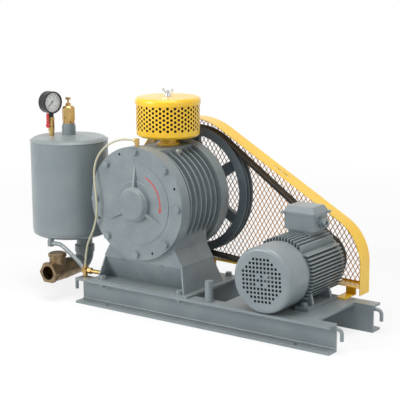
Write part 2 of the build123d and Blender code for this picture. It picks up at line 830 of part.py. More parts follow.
with BuildPart() as guard_band:
    for x, seat in ((bracket_left_x, foot_top), (bracket_right_x, rail_height)):
        with BuildSketch(Plane.YZ.offset(x - bracket_width / 2)):
            with BuildLine():
                Polyline(
                    (rail_half + 8, seat), (bracket_y, seat), (bracket_y, seat + 60),
                    (bracket_y - bracket_t, seat + 60), (bracket_y - bracket_t, seat + bracket_t),
                    (rail_half + 8, seat + bracket_t), close=True,
                )
            make_face()
        extrude(amount=bracket_width)
    with BuildSketch(upright(0, guard_rear, 0)):
        add(guard_inner)
    extrude(amount=guard_depth + 60, mode=Mode.SUBTRACT)
    with BuildSketch(upright(0, guard_rear, 0)):
        add(guard_outer)
        add(guard_inner, mode=Mode.SUBTRACT)
    extrude(amount=guard_depth)
    # the band is open below the motor pulley and its leg runs on down
    with Locations(((gap_left + gap_right) / 2, guard_rear - guard_depth / 2, guard_floor)):
        Box(gap_right - gap_left, guard_depth + 2, 60, mode=Mode.SUBTRACT)
    with Locations((leg_x, guard_rear, leg_foot)):
        Box(
            guard_t, guard_depth, guard_floor - leg_foot + 3 * guard_t,
            align=(Align.MAX, Align.MAX, Align.MIN),
        )
    # sight slot in the straight run above the belts
    slant = Vector(cos(radians(guard_way - 90)), 0, sin(radians(guard_way - 90)))
    run_x, run_z = rim_point(pump_x, pump_z, guard_r, guard_way)
    slot_at = Vector(run_x, guard_front + guard_depth / 2, run_z) + slant * sight_offset
    with BuildSketch(Plane(slot_at, x_dir=tuple(slant), z_dir=(-slant.Z, 0, slant.X))):
        SlotOverall(sight_length, sight_width)
    extrude(amount=guard_t + 1, both=True, mode=Mode.SUBTRACT)
guard_band.part.label = "guard_band"
export_step(guard_band.part, "parts/guard_band.step")

# expanded metal: diamonds on a staggered grid, cut back to a plain edge
with BuildSketch() as diamonds:
    half_x = mesh_pitch_x / 2 - strand / 2
    half_z = half_x * mesh_pitch_z / mesh_pitch_x
    for shift in (0, 0.5):
        with Locations((mesh_mid_x + shift * mesh_pitch_x, mesh_mid_z + shift * mesh_pitch_z)):
            with GridLocations(mesh_pitch_x, mesh_pitch_z, mesh_columns, mesh_rows):
                Polygon((half_x, 0), (0, half_z), (-half_x, 0), (0, -half_z))
    add(mesh_window, mode=Mode.INTERSECT)

with BuildPart() as guard_mesh:
    with BuildSketch(upright(0, guard_rear, 0)):
        add(guard_inner)
        add(diamonds.sketch, mode=Mode.SUBTRACT)
    extrude(amount=mesh_t)
guard_mesh.part.label = "guard_mesh"
export_step(guard_mesh.part, "parts/guard_mesh.step")


# ================================================================ motor
frame_front = motor_front + fan_cover_depth + 10
frame_rear = motor_rear - shield_t
frame_mid = motor_rear - foot_setback - foot_base / 2
with BuildSketch() as comb:
    with GridLocations(1, motor_fin_pitch, 1, motor_fin_count):
        Rectangle(2 * motor_fin_r, motor_fin_t)
    Circle(motor_fin_r, mode=Mode.INTERSECT)
    with BuildLine():
        Polyline((0, 0), (motor_fin_r, motor_fin_r), (motor_fin_r, -motor_fin_r), close=True)
    make_face(mode=Mode.INTERSECT)
    Circle(motor_core_r - 1, mode=Mode.SUBTRACT)

with BuildPart() as motor_frame:
    with BuildSketch(upright(motor_x, frame_front, motor_z)):
        Circle(motor_core_r)
        with PolarLocations(0, 3, start_angle=0, angular_range=180, endpoint=True):
            add(comb.sketch)
    extrude(amount=frame_front - frame_rear)
    for side in (-1, 1):
        with BuildSketch(Plane.XY.offset(rail_height)):
            with Locations((motor_x + side * foot_spread / 2, frame_mid)):
                Rectangle(foot_pad, foot_length)
        extrude(amount=foot_t)
        for rib_y in (frame_mid - foot_rib_spread / 2, frame_mid + foot_rib_spread / 2):
            with BuildSketch(upright(motor_x, rib_y + foot_rib_t / 2, rail_height)):
                with BuildLine():
                    Polyline(
                        (side * 36, 0), (side * (foot_spread / 2 + foot_pad / 2 - 2), 0),
                        (side * (foot_spread / 2 + foot_pad / 2 - 2), foot_t + 4),
                        (side * (motor_core_r - 6), shaft_height - 28),
                        (side * 40, shaft_height - 40), close=True,
                    )
                make_face()
            extrude(amount=foot_rib_t)
    # pad that carries the terminal box
    with BuildSketch(Plane.XY.offset(motor_z)):
        with Locations((box_x, box_y)):
            Rectangle(box_length - 24, box_depth - 8)
    extrude(amount=box_bottom - motor_z)
    with BuildSketch(upright(motor_x, frame_front, motor_z)):
        Circle(stator_r)
    extrude(amount=frame_front - frame_rear, mode=Mode.SUBTRACT)
    with BuildSketch(Plane.XY.offset(rail_height)):
        with Locations((motor_x, frame_mid)):
            with GridLocations(foot_spread, foot_base, 2, 2):
                Circle(motor_bolt_r + bolt_clearance)
    extrude(amount=foot_t, mode=Mode.SUBTRACT)
motor_frame.part.label = "motor_frame"
export_step(motor_frame.part, "parts/motor_frame.step")

with BuildPart() as front_shield:
    with BuildSketch(lengthwise(motor_x, 0, motor_z)):
        with BuildLine():
            Polyline(
                (frame_front, motor_bearing_r), (frame_front, fan_cover_r - fan_cover_t),
                (frame_front - 16, fan_cover_r - fan_cover_t), (frame_front - 16, motor_bearing_r + 8),
                (frame_front - 20, motor_bearing_r + 8), (frame_front - 20, motor_bearing_r), close=True,
            )
        make_face()
    revolve(axis=front_axis(motor_x, motor_z))
front_shield.part.label = "motor_fan_end_shield"
export_step(front_shield.part, "parts/motor_fan_end_shield.step")

with BuildPart() as rear_shield:
    with BuildSketch(lengthwise(motor_x, 0, motor_z)):
        with BuildLine():
            Polyline(
                (frame_rear, motor_bearing_r), (frame_rear, motor_core_r + 4),
                (frame_rear + 8, motor_core_r + 4), (frame_rear + 11, motor_core_r - 12),
                (motor_rear - 1, 42), (motor_rear, 40), (motor_rear, motor_bearing_r), close=True,
            )
        make_face()
    revolve(axis=front_axis(motor_x, motor_z))
rear_shield.part.label = "motor_drive_end_shield"
export_step(rear_shield.part, "parts/motor_drive_end_shield.step")

with BuildPart() as motor_bearings:
    for near in (frame_front - 20, motor_rear - motor_bearing_width):
        with BuildSketch(lengthwise(motor_x, near, motor_z)):
            with Locations((motor_bearing_width / 2, (motor_shaft_r + bearing_fit + motor_bearing_r) / 2)):
                Rectangle(motor_bearing_width, motor_bearing_r - motor_shaft_r - bearing_fit)
        revolve(axis=front_axis(motor_x, motor_z))
motor_bearings.part.label = "motor_bearings"
export_step(motor_bearings.part, "parts/motor_bearings.step")

with BuildPart() as stator:
    with BuildSketch(upright(motor_x, frame_mid - core_length / 2, motor_z)):
        Circle(stator_r)
        Circle(motor_rotor_r + running_gap, mode=Mode.SUBTRACT)
    extrude(amount=-core_length)
stator.part.label = "motor_stator"
export_step(stator.part, "parts/motor_stator.step")

with BuildPart() as motor_shaft:
    with BuildSketch(lengthwise(motor_x, 0, motor_z)):
        with BuildLine():
            Polyline(
                (fan_front - 2, 0), (fan_front - 2, motor_shaft_r), (drive_rear, motor_shaft_r),
                (drive_rear + 1, motor_shaft_r - 1), (drive_rear + 1, 0), close=True,
            )
        make_face()
    revolve(axis=front_axis(motor_x, motor_z))
motor_shaft.part.label = "motor_shaft"
export_step(motor_shaft.part, "parts/motor_shaft.step")

with BuildPart() as motor_rotor:
    with BuildSketch(upright(motor_x, frame_mid - core_length / 2, motor_z)):
        Circle(motor_rotor_r)
        Circle(motor_shaft_r, mode=Mode.SUBTRACT)
    extrude(amount=-core_length)
motor_rotor.part.label = "motor_rotor"
export_step(motor_rotor.part, "parts/motor_rotor.step")

with BuildPart() as cooling_fan:
    with BuildSketch(upright(motor_x, fan_front + fan_width, motor_z)):
        Circle(fan_r)
        Circle(motor_shaft_r, mode=Mode.SUBTRACT)
    extrude(amount=3)
    with BuildSketch(upright(motor_x, fan_front + fan_width - 3, motor_z)):
        Circle(motor_shaft_r + 7)
        Circle(motor_shaft_r, mode=Mode.SUBTRACT)
        with PolarLocations(0, fan_blades):
            with Locations(((fan_r + motor_shaft_r) / 2 + 2, 0)):
                Rectangle(fan_r - motor_shaft_r - 6, 3)
    extrude(amount=fan_width - 3)
cooling_fan.part.label = "cooling_fan"
export_step(cooling_fan.part, "parts/cooling_fan.step")

with BuildPart() as fan_cover:
    with BuildSketch(lengthwise(motor_x, 0, motor_z)):
        with BuildLine():
            Line((motor_front, 0), (motor_front, fan_disc_r))
            ThreePointArc(
                (motor_front, fan_disc_r),
                (motor_front + 0.29 * fan_cover_round, fan_disc_r + 0.71 * (fan_cover_r - fan_disc_r)),
                (motor_front + fan_cover_round, fan_cover_r),
            )
            Polyline(
                (motor_front + fan_cover_round, fan_cover_r),
                (motor_front + fan_cover_depth, fan_cover_r), (motor_front + fan_cover_depth, 0),
                (motor_front, 0),
            )
        make_face()
    revolve(axis=front_axis(motor_x, motor_z))
    offset(
        amount=-fan_cover_t, openings=fan_cover.faces().sort_by(Axis.Y)[-1], mode=Mode.REPLACE
    )
    with BuildSketch(upright(motor_x, motor_front, motor_z)):
        middle = (grille_rows - 1) / 2
        for row in range(grille_rows):
            for column in range(grille_rows):
                off_x, off_z = abs(column - middle), abs(row - middle)
                if off_x + off_z > 1.55 * middle or (off_x, off_z) in ((1, 1),):
                    continue
                with Locations(Location((0, 0, 0), (0, 0, grille_turn))):
                    with Locations(((column - middle) * grille_pitch, (row - middle) * grille_pitch)):
                        Rectangle(grille_hole, grille_hole)
    extrude(amount=-fan_cover_t - 1, mode=Mode.SUBTRACT)
fan_cover.part.label = "fan_cover"
export_step(fan_cover.part, "parts/fan_cover.step")

motor_bolt = hex_head(17, 8, motor_bolt_r, foot_t + motor_plate_t + 12, 10, 2)
with BuildPart() as motor_bolts:
    with Locations((motor_x, frame_mid, rail_height + foot_t)):
        with GridLocations(foot_spread, foot_base, 2, 2):
            add(motor_bolt)
    with BuildSketch(Plane.XY.offset(rail_height - motor_plate_t)):
        with Locations((motor_x, frame_mid)):
            with GridLocations(foot_spread, foot_base, 2, 2):
                RegularPolygon(8.5, 6, major_radius=False)
    extrude(amount=-8)
motor_bolts.part.label = "motor_bolts"
export_step(motor_bolts.part, "parts/motor_bolts.step")

# ---------------------------------------------------------------- terminal box
with BuildPart() as terminal_box:
    with BuildSketch(Plane.XY.offset(box_bottom)):
        with Locations((box_x, box_y)):
            RectangleRounded(box_length, box_depth, 6)
    extrude(amount=box_height)
    offset(amount=-3, openings=terminal_box.faces().sort_by(Axis.Z)[-1], mode=Mode.REPLACE)
    with BuildSketch(Plane.YZ.offset(box_x + box_length / 2)):
        with Locations((box_y, box_bottom + box_height / 2)):
            Circle(gland_r)
    extrude(amount=-10, mode=Mode.SUBTRACT)
terminal_box.part.label = "terminal_box"
export_step(terminal_box.part, "parts/terminal_box.step")

with BuildPart() as terminal_lid:
    lid_z = box_bottom + box_height
    with BuildSketch(Plane.XY.offset(lid_z)):
        with Locations((box_x, box_y)):
            RectangleRounded(box_length + 4, box_depth + 4, 7)
            with Locations((-box_length / 2, -box_depth / 2), (box_length / 2, box_depth / 2)):
                Circle(lug_r)
    extrude(amount=6)
    with BuildSketch(Plane.XY.offset(lid_z + 6)):
        with Locations((box_x, box_y)):
            RectangleRounded(box_length + 4, box_depth + 4, 7)
    extrude(amount=lid_height - 6, taper=degrees(atan2(lid_chamfer, lid_height - 6)))
terminal_lid.part.label = "terminal_lid"
export_step(terminal_lid.part, "parts/terminal_lid.step")

with BuildPart() as cable_gland:
    gland_z = box_bottom + box_height / 2
    with BuildSketch(Plane.YZ.offset(box_x + box_length / 2 - 3)):
        with Locations((box_y, gland_z)):
            Circle(gland_r)
    extrude(amount=3)
    with BuildSketch(Plane.YZ.offset(box_x + box_length / 2)):
        with Locations((box_y, gland_z)):
            RegularPolygon(gland_r + 3, 6, major_radius=False)
    extrude(amount=6)
    with BuildSketch(Plane.YZ.offset(box_x + box_length / 2 + 6)):
        with Locations((box_y, gland_z)):
            Circle(gland_r + 1)
    extrude(amount=12)
    with BuildSketch(Plane.YZ.offset(box_x + box_length / 2 - 3)):
        with Locations((box_y, gland_z)):
            Circle(cable_r)
    extrude(amount=21, mode=Mode.SUBTRACT)
cable_gland.part.label = "cable_gland"
export_step(cable_gland.part, "parts/cable_gland.step")

# ================================================================ intake filter
with BuildPart() as filter_base:
    with BuildSketch(upright(pump_x, filter_y, 0)):
        with BuildLine():
            Polyline(
                (intake_bore_r, intake_top), (filter_neck_r + 8, intake_top),
                (filter_neck_r + 8, intake_top + 5), (filter_neck_r, intake_top + 5),
                (filter_neck_r, filter_bottom), (filter_r - 6, filter_bottom),
                (filter_r, filter_bottom + 6), (filter_r, filter_bottom + pan_h),
                (filter_r - filter_sheet, filter_bottom + pan_h),
                (filter_r - filter_sheet, filter_bottom + 6.5),
                (filter_r - 6.5, filter_bottom + filter_sheet),
                (intake_bore_r, filter_bottom + filter_sheet), close=True,
            )
        make_face()
    revolve(axis=post_axis(pump_x, filter_y))
filter_base.part.label = "filter_base"
export_step(filter_base.part, "parts/filter_base.step")

with BuildPart() as filter_screen:
    with BuildSketch(Plane.XY.offset(filter_bottom + pan_h)):
        with Locations((pump_x, filter_y)):
            Circle(filter_r)
            Circle(filter_r - filter_sheet, mode=Mode.SUBTRACT)
    extrude(amount=filter_height - pan_h)
    row_pitch = (filter_height - pan_h) / perforation_rows
    for row in range(perforation_rows):
        level = filter_bottom + pan_h + (row + 0.5) * row_pitch
        turn = 180 / perforation_columns * (row % 2)
        with Locations((pump_x, filter_y, level)):
            with PolarLocations(filter_r, perforation_columns, start_angle=turn):
                Cylinder(perforation, 4 * filter_sheet, rotation=(0, 90, 0), mode=Mode.SUBTRACT)
filter_screen.part.label = "filter_screen"
export_step(filter_screen.part, "parts/filter_screen.step")

with BuildPart() as filter_element:
    with BuildSketch(Plane.XY.offset(filter_bottom + filter_sheet)):
        with Locations((pump_x, filter_y)):
            Circle(element_r)
            Circle(element_bore_r, mode=Mode.SUBTRACT)
    extrude(amount=filter_height - filter_sheet)
filter_element.part.label = "filter_element"
export_step(filter_element.part, "parts/filter_element.step")

cap_top = filter_bottom + filter_height + filter_cap_h
with BuildPart() as filter_cap:
    with BuildSketch(upright(pump_x, filter_y, 0)):
        with BuildLine():
            Polyline(
                (stud_r + 0.4, cap_top), (filter_cap_r - cap_round, cap_top),
            )
            RadiusArc(
                (filter_cap_r - cap_round, cap_top), (filter_cap_r, cap_top - cap_round), cap_round
            )
            Polyline(
                (filter_cap_r, cap_top - cap_round), (filter_cap_r, cap_top - filter_cap_h),
                (stud_r + 0.4, cap_top - filter_cap_h), (stud_r + 0.4, cap_top),
            )
        make_face()
        with BuildLine():
            Polyline(
                (stud_r + 0.4, cap_top - filter_sheet),
                (filter_cap_r - cap_round, cap_top - filter_sheet),
                (filter_cap_r - filter_sheet, cap_top - cap_round),
                (filter_cap_r - filter_sheet, cap_top - filter_cap_h + filter_sheet),
                (element_r, cap_top - filter_cap_h + filter_sheet),
                (stud_r + 0.4, cap_top - filter_cap_h + filter_sheet), close=True,
            )
        make_face(mode=Mode.SUBTRACT)
    revolve(axis=post_axis(pump_x, filter_y))
filter_cap.part.label = "filter_cap"
export_step(filter_cap.part, "parts/filter_cap.step")

with BuildPart() as filter_stud:
    # crossbar pressed into the neck
    with BuildSketch(Plane.XY.offset(intake_top + 8)):
        with Locations((pump_x, filter_y)):
            Rectangle(2 * intake_bore_r, 8)
            Circle(intake_bore_r, mode=Mode.INTERSECT)
    extrude(amount=5)
    with Locations((pump_x, filter_y, intake_top + 8)):
        Cylinder(
            stud_r, cap_top + stud_reach - intake_top - 8,
            align=(Align.CENTER, Align.CENTER, Align.MIN),
        )
filter_stud.part.label = "filter_stud"
export_step(filter_stud.part, "parts/filter_stud.step")

with BuildPart() as wing_nut:
    with BuildSketch(upright(pump_x, filter_y, cap_top + running_gap)):
        with BuildLine():
            Polyline(
                (stud_r + 0.1, 0), (9, 0), (7.5, 9), (stud_r + 0.1, 9), close=True,
            )
        make_face()
    revolve(axis=post_axis(pump_x, filter_y))
    with BuildSketch(upright(pump_x, filter_y + wing_t / 2, cap_top + running_gap)):
        for side in (-1, 1):
            with BuildLine():
                wing = Polyline(
                    (side * 6.5, 2), (side * 12, 7), (side * (wing_reach - 1), 16),
                    (side * wing_reach, 20), (side * (wing_reach - 4), 22),
                    (side * 9, 13), (side * 6.5, 8.5), close=True,
                )
            make_face()
    extrude(amount=wing_t)
wing_nut.part.label = "wing_nut"
export_step(wing_nut.part, "parts/wing_nut.step")

with BuildPart() as intake_plug:
    with BuildSketch(Plane.YZ.offset(pump_x + 56)):
        with Locations((barrel_mid, intake_top - plug_drop)):
            RegularPolygon(8, 6, major_radius=False)
    extrude(amount=14)
intake_plug.part.label = "intake_plug"
export_step(intake_plug.part, "parts/intake_plug.step")

# ================================================================ separator tank
with BuildPart() as tank_body:
    with BuildSketch(upright(tank_x, tank_y, 0)):
        with BuildLine():
            Line((0, tank_bottom), (tank_r - tank_knuckle, tank_bottom))
            RadiusArc(
                (tank_r - tank_knuckle, tank_bottom), (tank_r, tank_bottom + tank_knuckle),
                -tank_knuckle,
            )
            Line((tank_r, tank_bottom + tank_knuckle), (tank_r, tank_top - head_rise))
            RadiusArc(
                (tank_r, tank_top - head_rise), (tank_r - tank_knuckle, tank_top - head_crown),
                -tank_knuckle,
            )
            Polyline(
                (tank_r - tank_knuckle, tank_top - head_crown), (0, tank_top), (0, tank_bottom)
            )
        make_face()
    revolve(axis=post_axis(tank_x, tank_y))

with BuildPart() as tank_shell:
    add(tank_body.part)
    with BuildSketch(upright(tank_x, tank_y, 0)):
        with BuildLine():
            Polyline(
                (0, tank_bottom + tank_wall), (tank_r - tank_knuckle, tank_bottom + tank_wall),
                (tank_r - tank_wall, tank_bottom + tank_knuckle),
                (tank_r - tank_wall, tank_top - head_rise),
                (tank_r - tank_knuckle, tank_top - head_crown - tank_wall - 1),
                (0, tank_top - tank_wall - 1), close=True,
            )
        make_face()
    revolve(axis=post_axis(tank_x, tank_y), mode=Mode.SUBTRACT)
    # weld beads round both heads
    knuckle_in = tank_knuckle - sqrt(tank_knuckle**2 - (tank_knuckle - seam_low) ** 2)
    for level, drawn_in in ((tank_bottom + seam_low, knuckle_in), (tank_top - head_rise, 0)):
        with BuildSketch(upright(tank_x, tank_y, 0)):
            with Locations((tank_r - drawn_in - 0.6, level)):
                Circle(2)
        revolve(axis=post_axis(tank_x, tank_y))
    # welded socket for the relief valve
    with BuildSketch(upright(tank_x, tank_y, 0)):
        with BuildLine():
            Polyline(
                (0, tank_top - 4), (socket_r, tank_top - 4), (socket_r, relief_z - 7),
                (socket_r - 2, relief_z - 7), (socket_r - 2, relief_z), (0, relief_z), close=True,
            )
        make_face()
    revolve(axis=post_axis(tank_x, tank_y))
    with BuildSketch(Plane.XY.offset(tank_bottom + 10)):
        with Locations((tank_x + outlet_offset, tank_y)):
            Circle(pipe_bore_r)
        with Locations((drain_x, drain_y)):
            Circle(oil_bore_r)
    extrude(amount=-12, mode=Mode.SUBTRACT)
    with BuildSketch(Plane.XY.offset(tank_top - 20)):
        with Locations((tank_x, tank_y)):
            Circle(relief_bore_r)
        with Locations((gauge_x, gauge_y)):
            Circle(cock_bore_r)
    extrude(amount=relief_z - tank_top + 20, mode=Mode.SUBTRACT)
    with BuildSketch(Plane.YZ.offset(tank_x)):
        with Locations((tank_y, discharge_z)):
            Circle(pipe_bore_r)
    extrude(amount=tank_r + 5, mode=Mode.SUBTRACT)
tank_shell.part.label = "tank_shell"
export_step(tank_shell.part, "parts/tank_shell.step")

# ---------------------------------------------------------------- tank outlet and check valve
outlet_x = tank_x + outlet_offset
elbow_z = collar_bottom - bend_r
with BuildPart() as nipples:
    with BuildSketch(Plane.YZ.offset(tank_x + tank_r - 20)):
        with Locations((tank_y, discharge_z)):
            Circle(pipe_r)
            Circle(pipe_bore_r, mode=Mode.SUBTRACT)
    extrude(amount=pump_x - flange_r + 16 - tank_x - tank_r + 20)
    with BuildSketch(Plane.XY.offset(collar_bottom + 8)):
        with Locations((outlet_x, tank_y)):
            Circle(pipe_r)
            Circle(pipe_bore_r, mode=Mode.SUBTRACT)
    extrude(amount=tank_bottom + 20 - collar_bottom)
    add(tank_body.part, mode=Mode.SUBTRACT)
nipples.part.label = "pipe_nipples"
export_step(nipples.part, "parts/pipe_nipples.step")

with BuildPart() as outlet_elbow:
    with BuildSketch(Plane.XY.offset(collar_bottom)):
        with Locations((outlet_x, tank_y)):
            Circle(collar_r)
    extrude(amount=collar_h)
    with BuildSketch(Plane.XY.offset(collar_bottom)):
        with Locations((outlet_x, tank_y)):
            Circle(elbow_r)
    revolve(
        axis=Axis((outlet_x, tank_y - bend_r, collar_bottom), (-1, 0, 0)), revolution_arc=90
    )
    with BuildSketch(upright(outlet_x, tank_y - bend_r, elbow_z)):
        Circle(elbow_r)
    extrude(amount=elbow_run)
    with BuildSketch(Plane.XY.offset(collar_bottom)):
        with Locations((outlet_x, tank_y)):
            Circle(pipe_bore_r)
    revolve(
        axis=Axis((outlet_x, tank_y - bend_r, collar_bottom), (-1, 0, 0)), revolution_arc=90,
        mode=Mode.SUBTRACT,
    )
    with BuildSketch(Plane.XY.offset(collar_bottom)):
        with Locations((outlet_x, tank_y)):
            Circle(pipe_bore_r)
    extrude(amount=collar_h, mode=Mode.SUBTRACT)
    with BuildSketch(Plane.XY.offset(collar_bottom + 8)):
        with Locations((outlet_x, tank_y)):
            Circle(pipe_r)
    extrude(amount=collar_h, mode=Mode.SUBTRACT)
    with BuildSketch(upright(outlet_x, tank_y - bend_r, elbow_z)):
        Circle(pipe_bore_r)
    extrude(amount=elbow_run, mode=Mode.SUBTRACT)
    with BuildSketch(upright(outlet_x, tank_y - bend_r - elbow_run + spigot, elbow_z)):
        Circle(pipe_r)
    extrude(amount=elbow_run, mode=Mode.SUBTRACT)
outlet_elbow.part.label = "outlet_elbow"
export_step(outlet_elbow.part, "parts/outlet_elbow.step")

valve_in = tank_y - bend_r - elbow_run
valve_out = valve_in - valve_length
seat_y = valve_in - seat_offset
neck_y = seat_y - 25
hinge_y = seat_y - 10
hinge_z = elbow_z + chamber_r
with BuildPart() as check_valve:
    with BuildSketch(lengthwise(outlet_x, 0, elbow_z)):
        with BuildLine():
            Polyline(
                (valve_in + spigot, 0), (valve_in + spigot, pipe_r), (valve_in, pipe_r),
                (valve_in, valve_r - 3), (seat_y + 6, valve_r), (valve_out + hex_t, valve_r),
                (valve_out + hex_t, 0), close=True,
            )
        make_face()
    revolve(axis=front_axis(outlet_x, elbow_z))
    with BuildSketch(upright(outlet_x, valve_out + hex_t, elbow_z)):
        RegularPolygon(valve_hex / 2, 6, major_radius=False)
    extrude(amount=hex_t)
    with BuildSketch(Plane.XY.offset(elbow_z)):
        with Locations((outlet_x, neck_y)):
            Circle(neck_r)
    extrude(amount=neck_top - elbow_z)
    with BuildSketch(upright(outlet_x, valve_in + spigot, elbow_z)):
        Circle(pipe_bore_r)
    extrude(amount=valve_in + spigot - valve_out, mode=Mode.SUBTRACT)
    with BuildSketch(upright(outlet_x, seat_y, elbow_z)):
        Circle(chamber_r)
    extrude(amount=chamber_length, mode=Mode.SUBTRACT)
    with BuildSketch(Plane.XY.offset(elbow_z)):
        with Locations((outlet_x, neck_y)):
            Circle(neck_bore_r)
    extrude(amount=neck_top - elbow_z, mode=Mode.SUBTRACT)
    with BuildSketch(Plane.YZ.offset(outlet_x - neck_bore_r - 2.5)):
        with Locations((hinge_y, hinge_z)):
            Circle(hinge_pin_r + bearing_fit)
    extrude(amount=2 * neck_bore_r + 5, mode=Mode.SUBTRACT)
check_valve.part.label = "check_valve_body"
export_step(check_valve.part, "parts/check_valve_body.step")

with BuildPart() as valve_cap:
    with BuildSketch(upright(outlet_x, neck_y, neck_top)):
        with BuildLine():
            Polyline(
                (0, -6), (neck_bore_r, -6), (neck_bore_r, 0), (cap_r, 0), (cap_r, 9),
                (cap_r - 6, 12), (0, 12), close=True,
            )
        make_face()
    revolve(axis=post_axis(outlet_x, neck_y))
    with BuildSketch(Plane.XY.offset(neck_top)):
        with Locations((outlet_x, neck_y)):
            with PolarLocations(cap_r, cap_ribs):
                Rectangle(3, 6)
    extrude(amount=9, mode=Mode.SUBTRACT)
valve_cap.part.label = "check_valve_cap"
export_step(valve_cap.part, "parts/check_valve_cap.step")

with BuildPart() as flap:
    with BuildSketch(upright(outlet_x, seat_y - running_gap, elbow_z)):
        Circle(flap_r)
    extrude(amount=flap_t)
    with BuildSketch(Plane.YZ.offset(outlet_x - flap_arm / 2)):
        with BuildLine():
            Polyline(
                (hinge_y - hinge_pin_r, hinge_z - 2), (hinge_y - 5, hinge_z - 8),
                (seat_y - running_gap - flap_t - 3, elbow_z), (seat_y - running_gap - 1, elbow_z),
                (seat_y - running_gap - 1, hinge_z - 8), (hinge_y + 3, hinge_z - 2), close=True,
            )
        make_face()
        with Locations((hinge_y, hinge_z)):
            Circle(hinge_pin_r + 2.2)
    extrude(amount=flap_arm)
    # hinge pin, turning in the valve body
    with BuildSketch(Plane.YZ.offset(outlet_x - neck_bore_r - 2)):
        with Locations((hinge_y, hinge_z)):
            Circle(hinge_pin_r)
    extrude(amount=2 * neck_bore_r + 4)
flap.part.label = "check_valve_flap"
export_step(flap.part, "parts/check_valve_flap.step")

# ---------------------------------------------------------------- relief valve
relief_top = relief_z + relief_h
with BuildPart() as relief_body:
    with BuildSketch(Plane.XY.offset(relief_z)):
        with Locations((tank_x, tank_y)):
            RegularPolygon(relief_hex / 2, 6, major_radius=False, rotation=30)
    extrude(amount=relief_h)
    with BuildSketch(upright(tank_x, tank_y, relief_z)):
        with BuildLine():
            Polyline(
                (0, 0), (socket_r - 3, 0), (socket_r - 3, 4), (relief_hex * 0.55, 8),
                (relief_hex * 0.58, 10), (relief_hex * 0.58, relief_h - 6),
                (relief_hex * 0.42, relief_h), (0, relief_h), close=True,
            )
        make_face()
    revolve(axis=post_axis(tank_x, tank_y), mode=Mode.INTERSECT)
    with BuildSketch(Plane.XY.offset(relief_z)):
        with Locations((tank_x, tank_y)):
            Circle(6)
    extrude(amount=relief_h, mode=Mode.SUBTRACT)
    with BuildSketch(Plane.XY.offset(relief_z + 8)):
        with Locations((tank_x, tank_y)):
            Circle(poppet_r + running_gap)
    extrude(amount=relief_h, mode=Mode.SUBTRACT)
    with BuildSketch(Plane.XZ.offset(-tank_y)):
        with Locations((tank_x, relief_z + 16)):
            Circle(2)
    extrude(amount=relief_hex, mode=Mode.SUBTRACT)
relief_body.part.label = "relief_valve_body"
export_step(relief_body.part, "parts/relief_valve_body.step")

with BuildPart() as relief_nut:
    with BuildSketch(Plane.XY.offset(relief_top)):
        with Locations((tank_x, tank_y)):
            RegularPolygon(locknut / 2, 6, major_radius=False)
            Circle(stem_r + running_gap, mode=Mode.SUBTRACT)
    extrude(amount=8.5)
    with BuildSketch(Plane.XY.offset(relief_top)):
        with Locations((tank_x, tank_y)):
            Circle(poppet_r + running_gap)
            Circle(stem_r + running_gap, mode=Mode.SUBTRACT)
    extrude(amount=-8)
relief_nut.part.label = "relief_valve_adjuster"
export_step(relief_nut.part, "parts/relief_valve_adjuster.step")

with BuildPart() as relief_stem:
    with BuildSketch(upright(tank_x, tank_y, 0)):
        with BuildLine():
            Polyline(
                (0, relief_z + 8.3), (poppet_r, relief_z + 8.3), (poppet_r, relief_z + 13),
                (stem_r, relief_z + 14), (stem_r, stem_top), (0, stem_top), close=True,
            )
        make_face()
    revolve(axis=post_axis(tank_x, tank_y))
    with Locations((tank_x, tank_y, stem_top - 5)):
        Box(14, 7, 7, align=(Align.CENTER, Align.CENTER, Align.MIN))
relief_stem.part.label = "relief_valve_stem"
export_step(relief_stem.part, "parts/relief_valve_stem.step")

with BuildPart() as relief_spring:
    spring_r = (poppet_r + stem_r) / 2 + 0.3
    with BuildLine():
        coil = Helix(6, relief_top - relief_z - 26, spring_r, center=(tank_x, tank_y, relief_z + 15.6))
    with BuildSketch(Plane(coil @ 0, z_dir=coil % 0)):
        Circle(1.1)
    sweep()
relief_spring.part.label = "relief_valve_spring"
export_step(relief_spring.part, "parts/relief_valve_spring.step")

# ---------------------------------------------------------------- pressure gauge on its cock
gauge_dir = Vector(cos(radians(gauge_turn)), sin(radians(gauge_turn)), 0)
with BuildPart() as gauge_cock:
    with BuildSketch(Plane.XY.offset(tank_top - 16)):
        with Locations((gauge_x, gauge_y)):
            Circle(cock_r - 1.5)
    extrude(amount=cock_z - tank_top + 16)
    with BuildSketch(Plane.XY.offset(cock_z)):
        with Locations((gauge_x, gauge_y)):
            Circle(cock_r)
    extrude(amount=cock_h)
    with BuildSketch(Plane.XY.offset(cock_z + cock_h)):
        with Locations((gauge_x, gauge_y)):
            RegularPolygon(cock_r - 0.5, 6, major_radius=False)
    extrude(amount=-9)
    with BuildSketch(Plane.XY.offset(cock_z)):
        with Locations((gauge_x, gauge_y)):
            RegularPolygon(cock_r - 0.5, 6, major_radius=False)
    extrude(amount=9)
    with BuildSketch(upright(gauge_x, gauge_y, lever_z)):
        Circle(6)
    extrude(amount=cock_r + 5)
    add(tank_body.part, mode=Mode.SUBTRACT)
    with BuildSketch(Plane.XY.offset(tank_top - 20)):
        with Locations((gauge_x, gauge_y)):
            Circle(3)
    extrude(amount=cock_h + 40, mode=Mode.SUBTRACT)
    with Locations((gauge_x, gauge_y, lever_z)):
        Sphere(ball_r + 0.15, mode=Mode.SUBTRACT)
    with BuildSketch(upright(gauge_x, gauge_y, lever_z)):
        Circle(lever_pin_r + bearing_fit)
    extrude(amount=cock_r + 6, mode=Mode.SUBTRACT)
gauge_cock.part.label = "gauge_cock"
export_step(gauge_cock.part, "parts/gauge_cock.step")

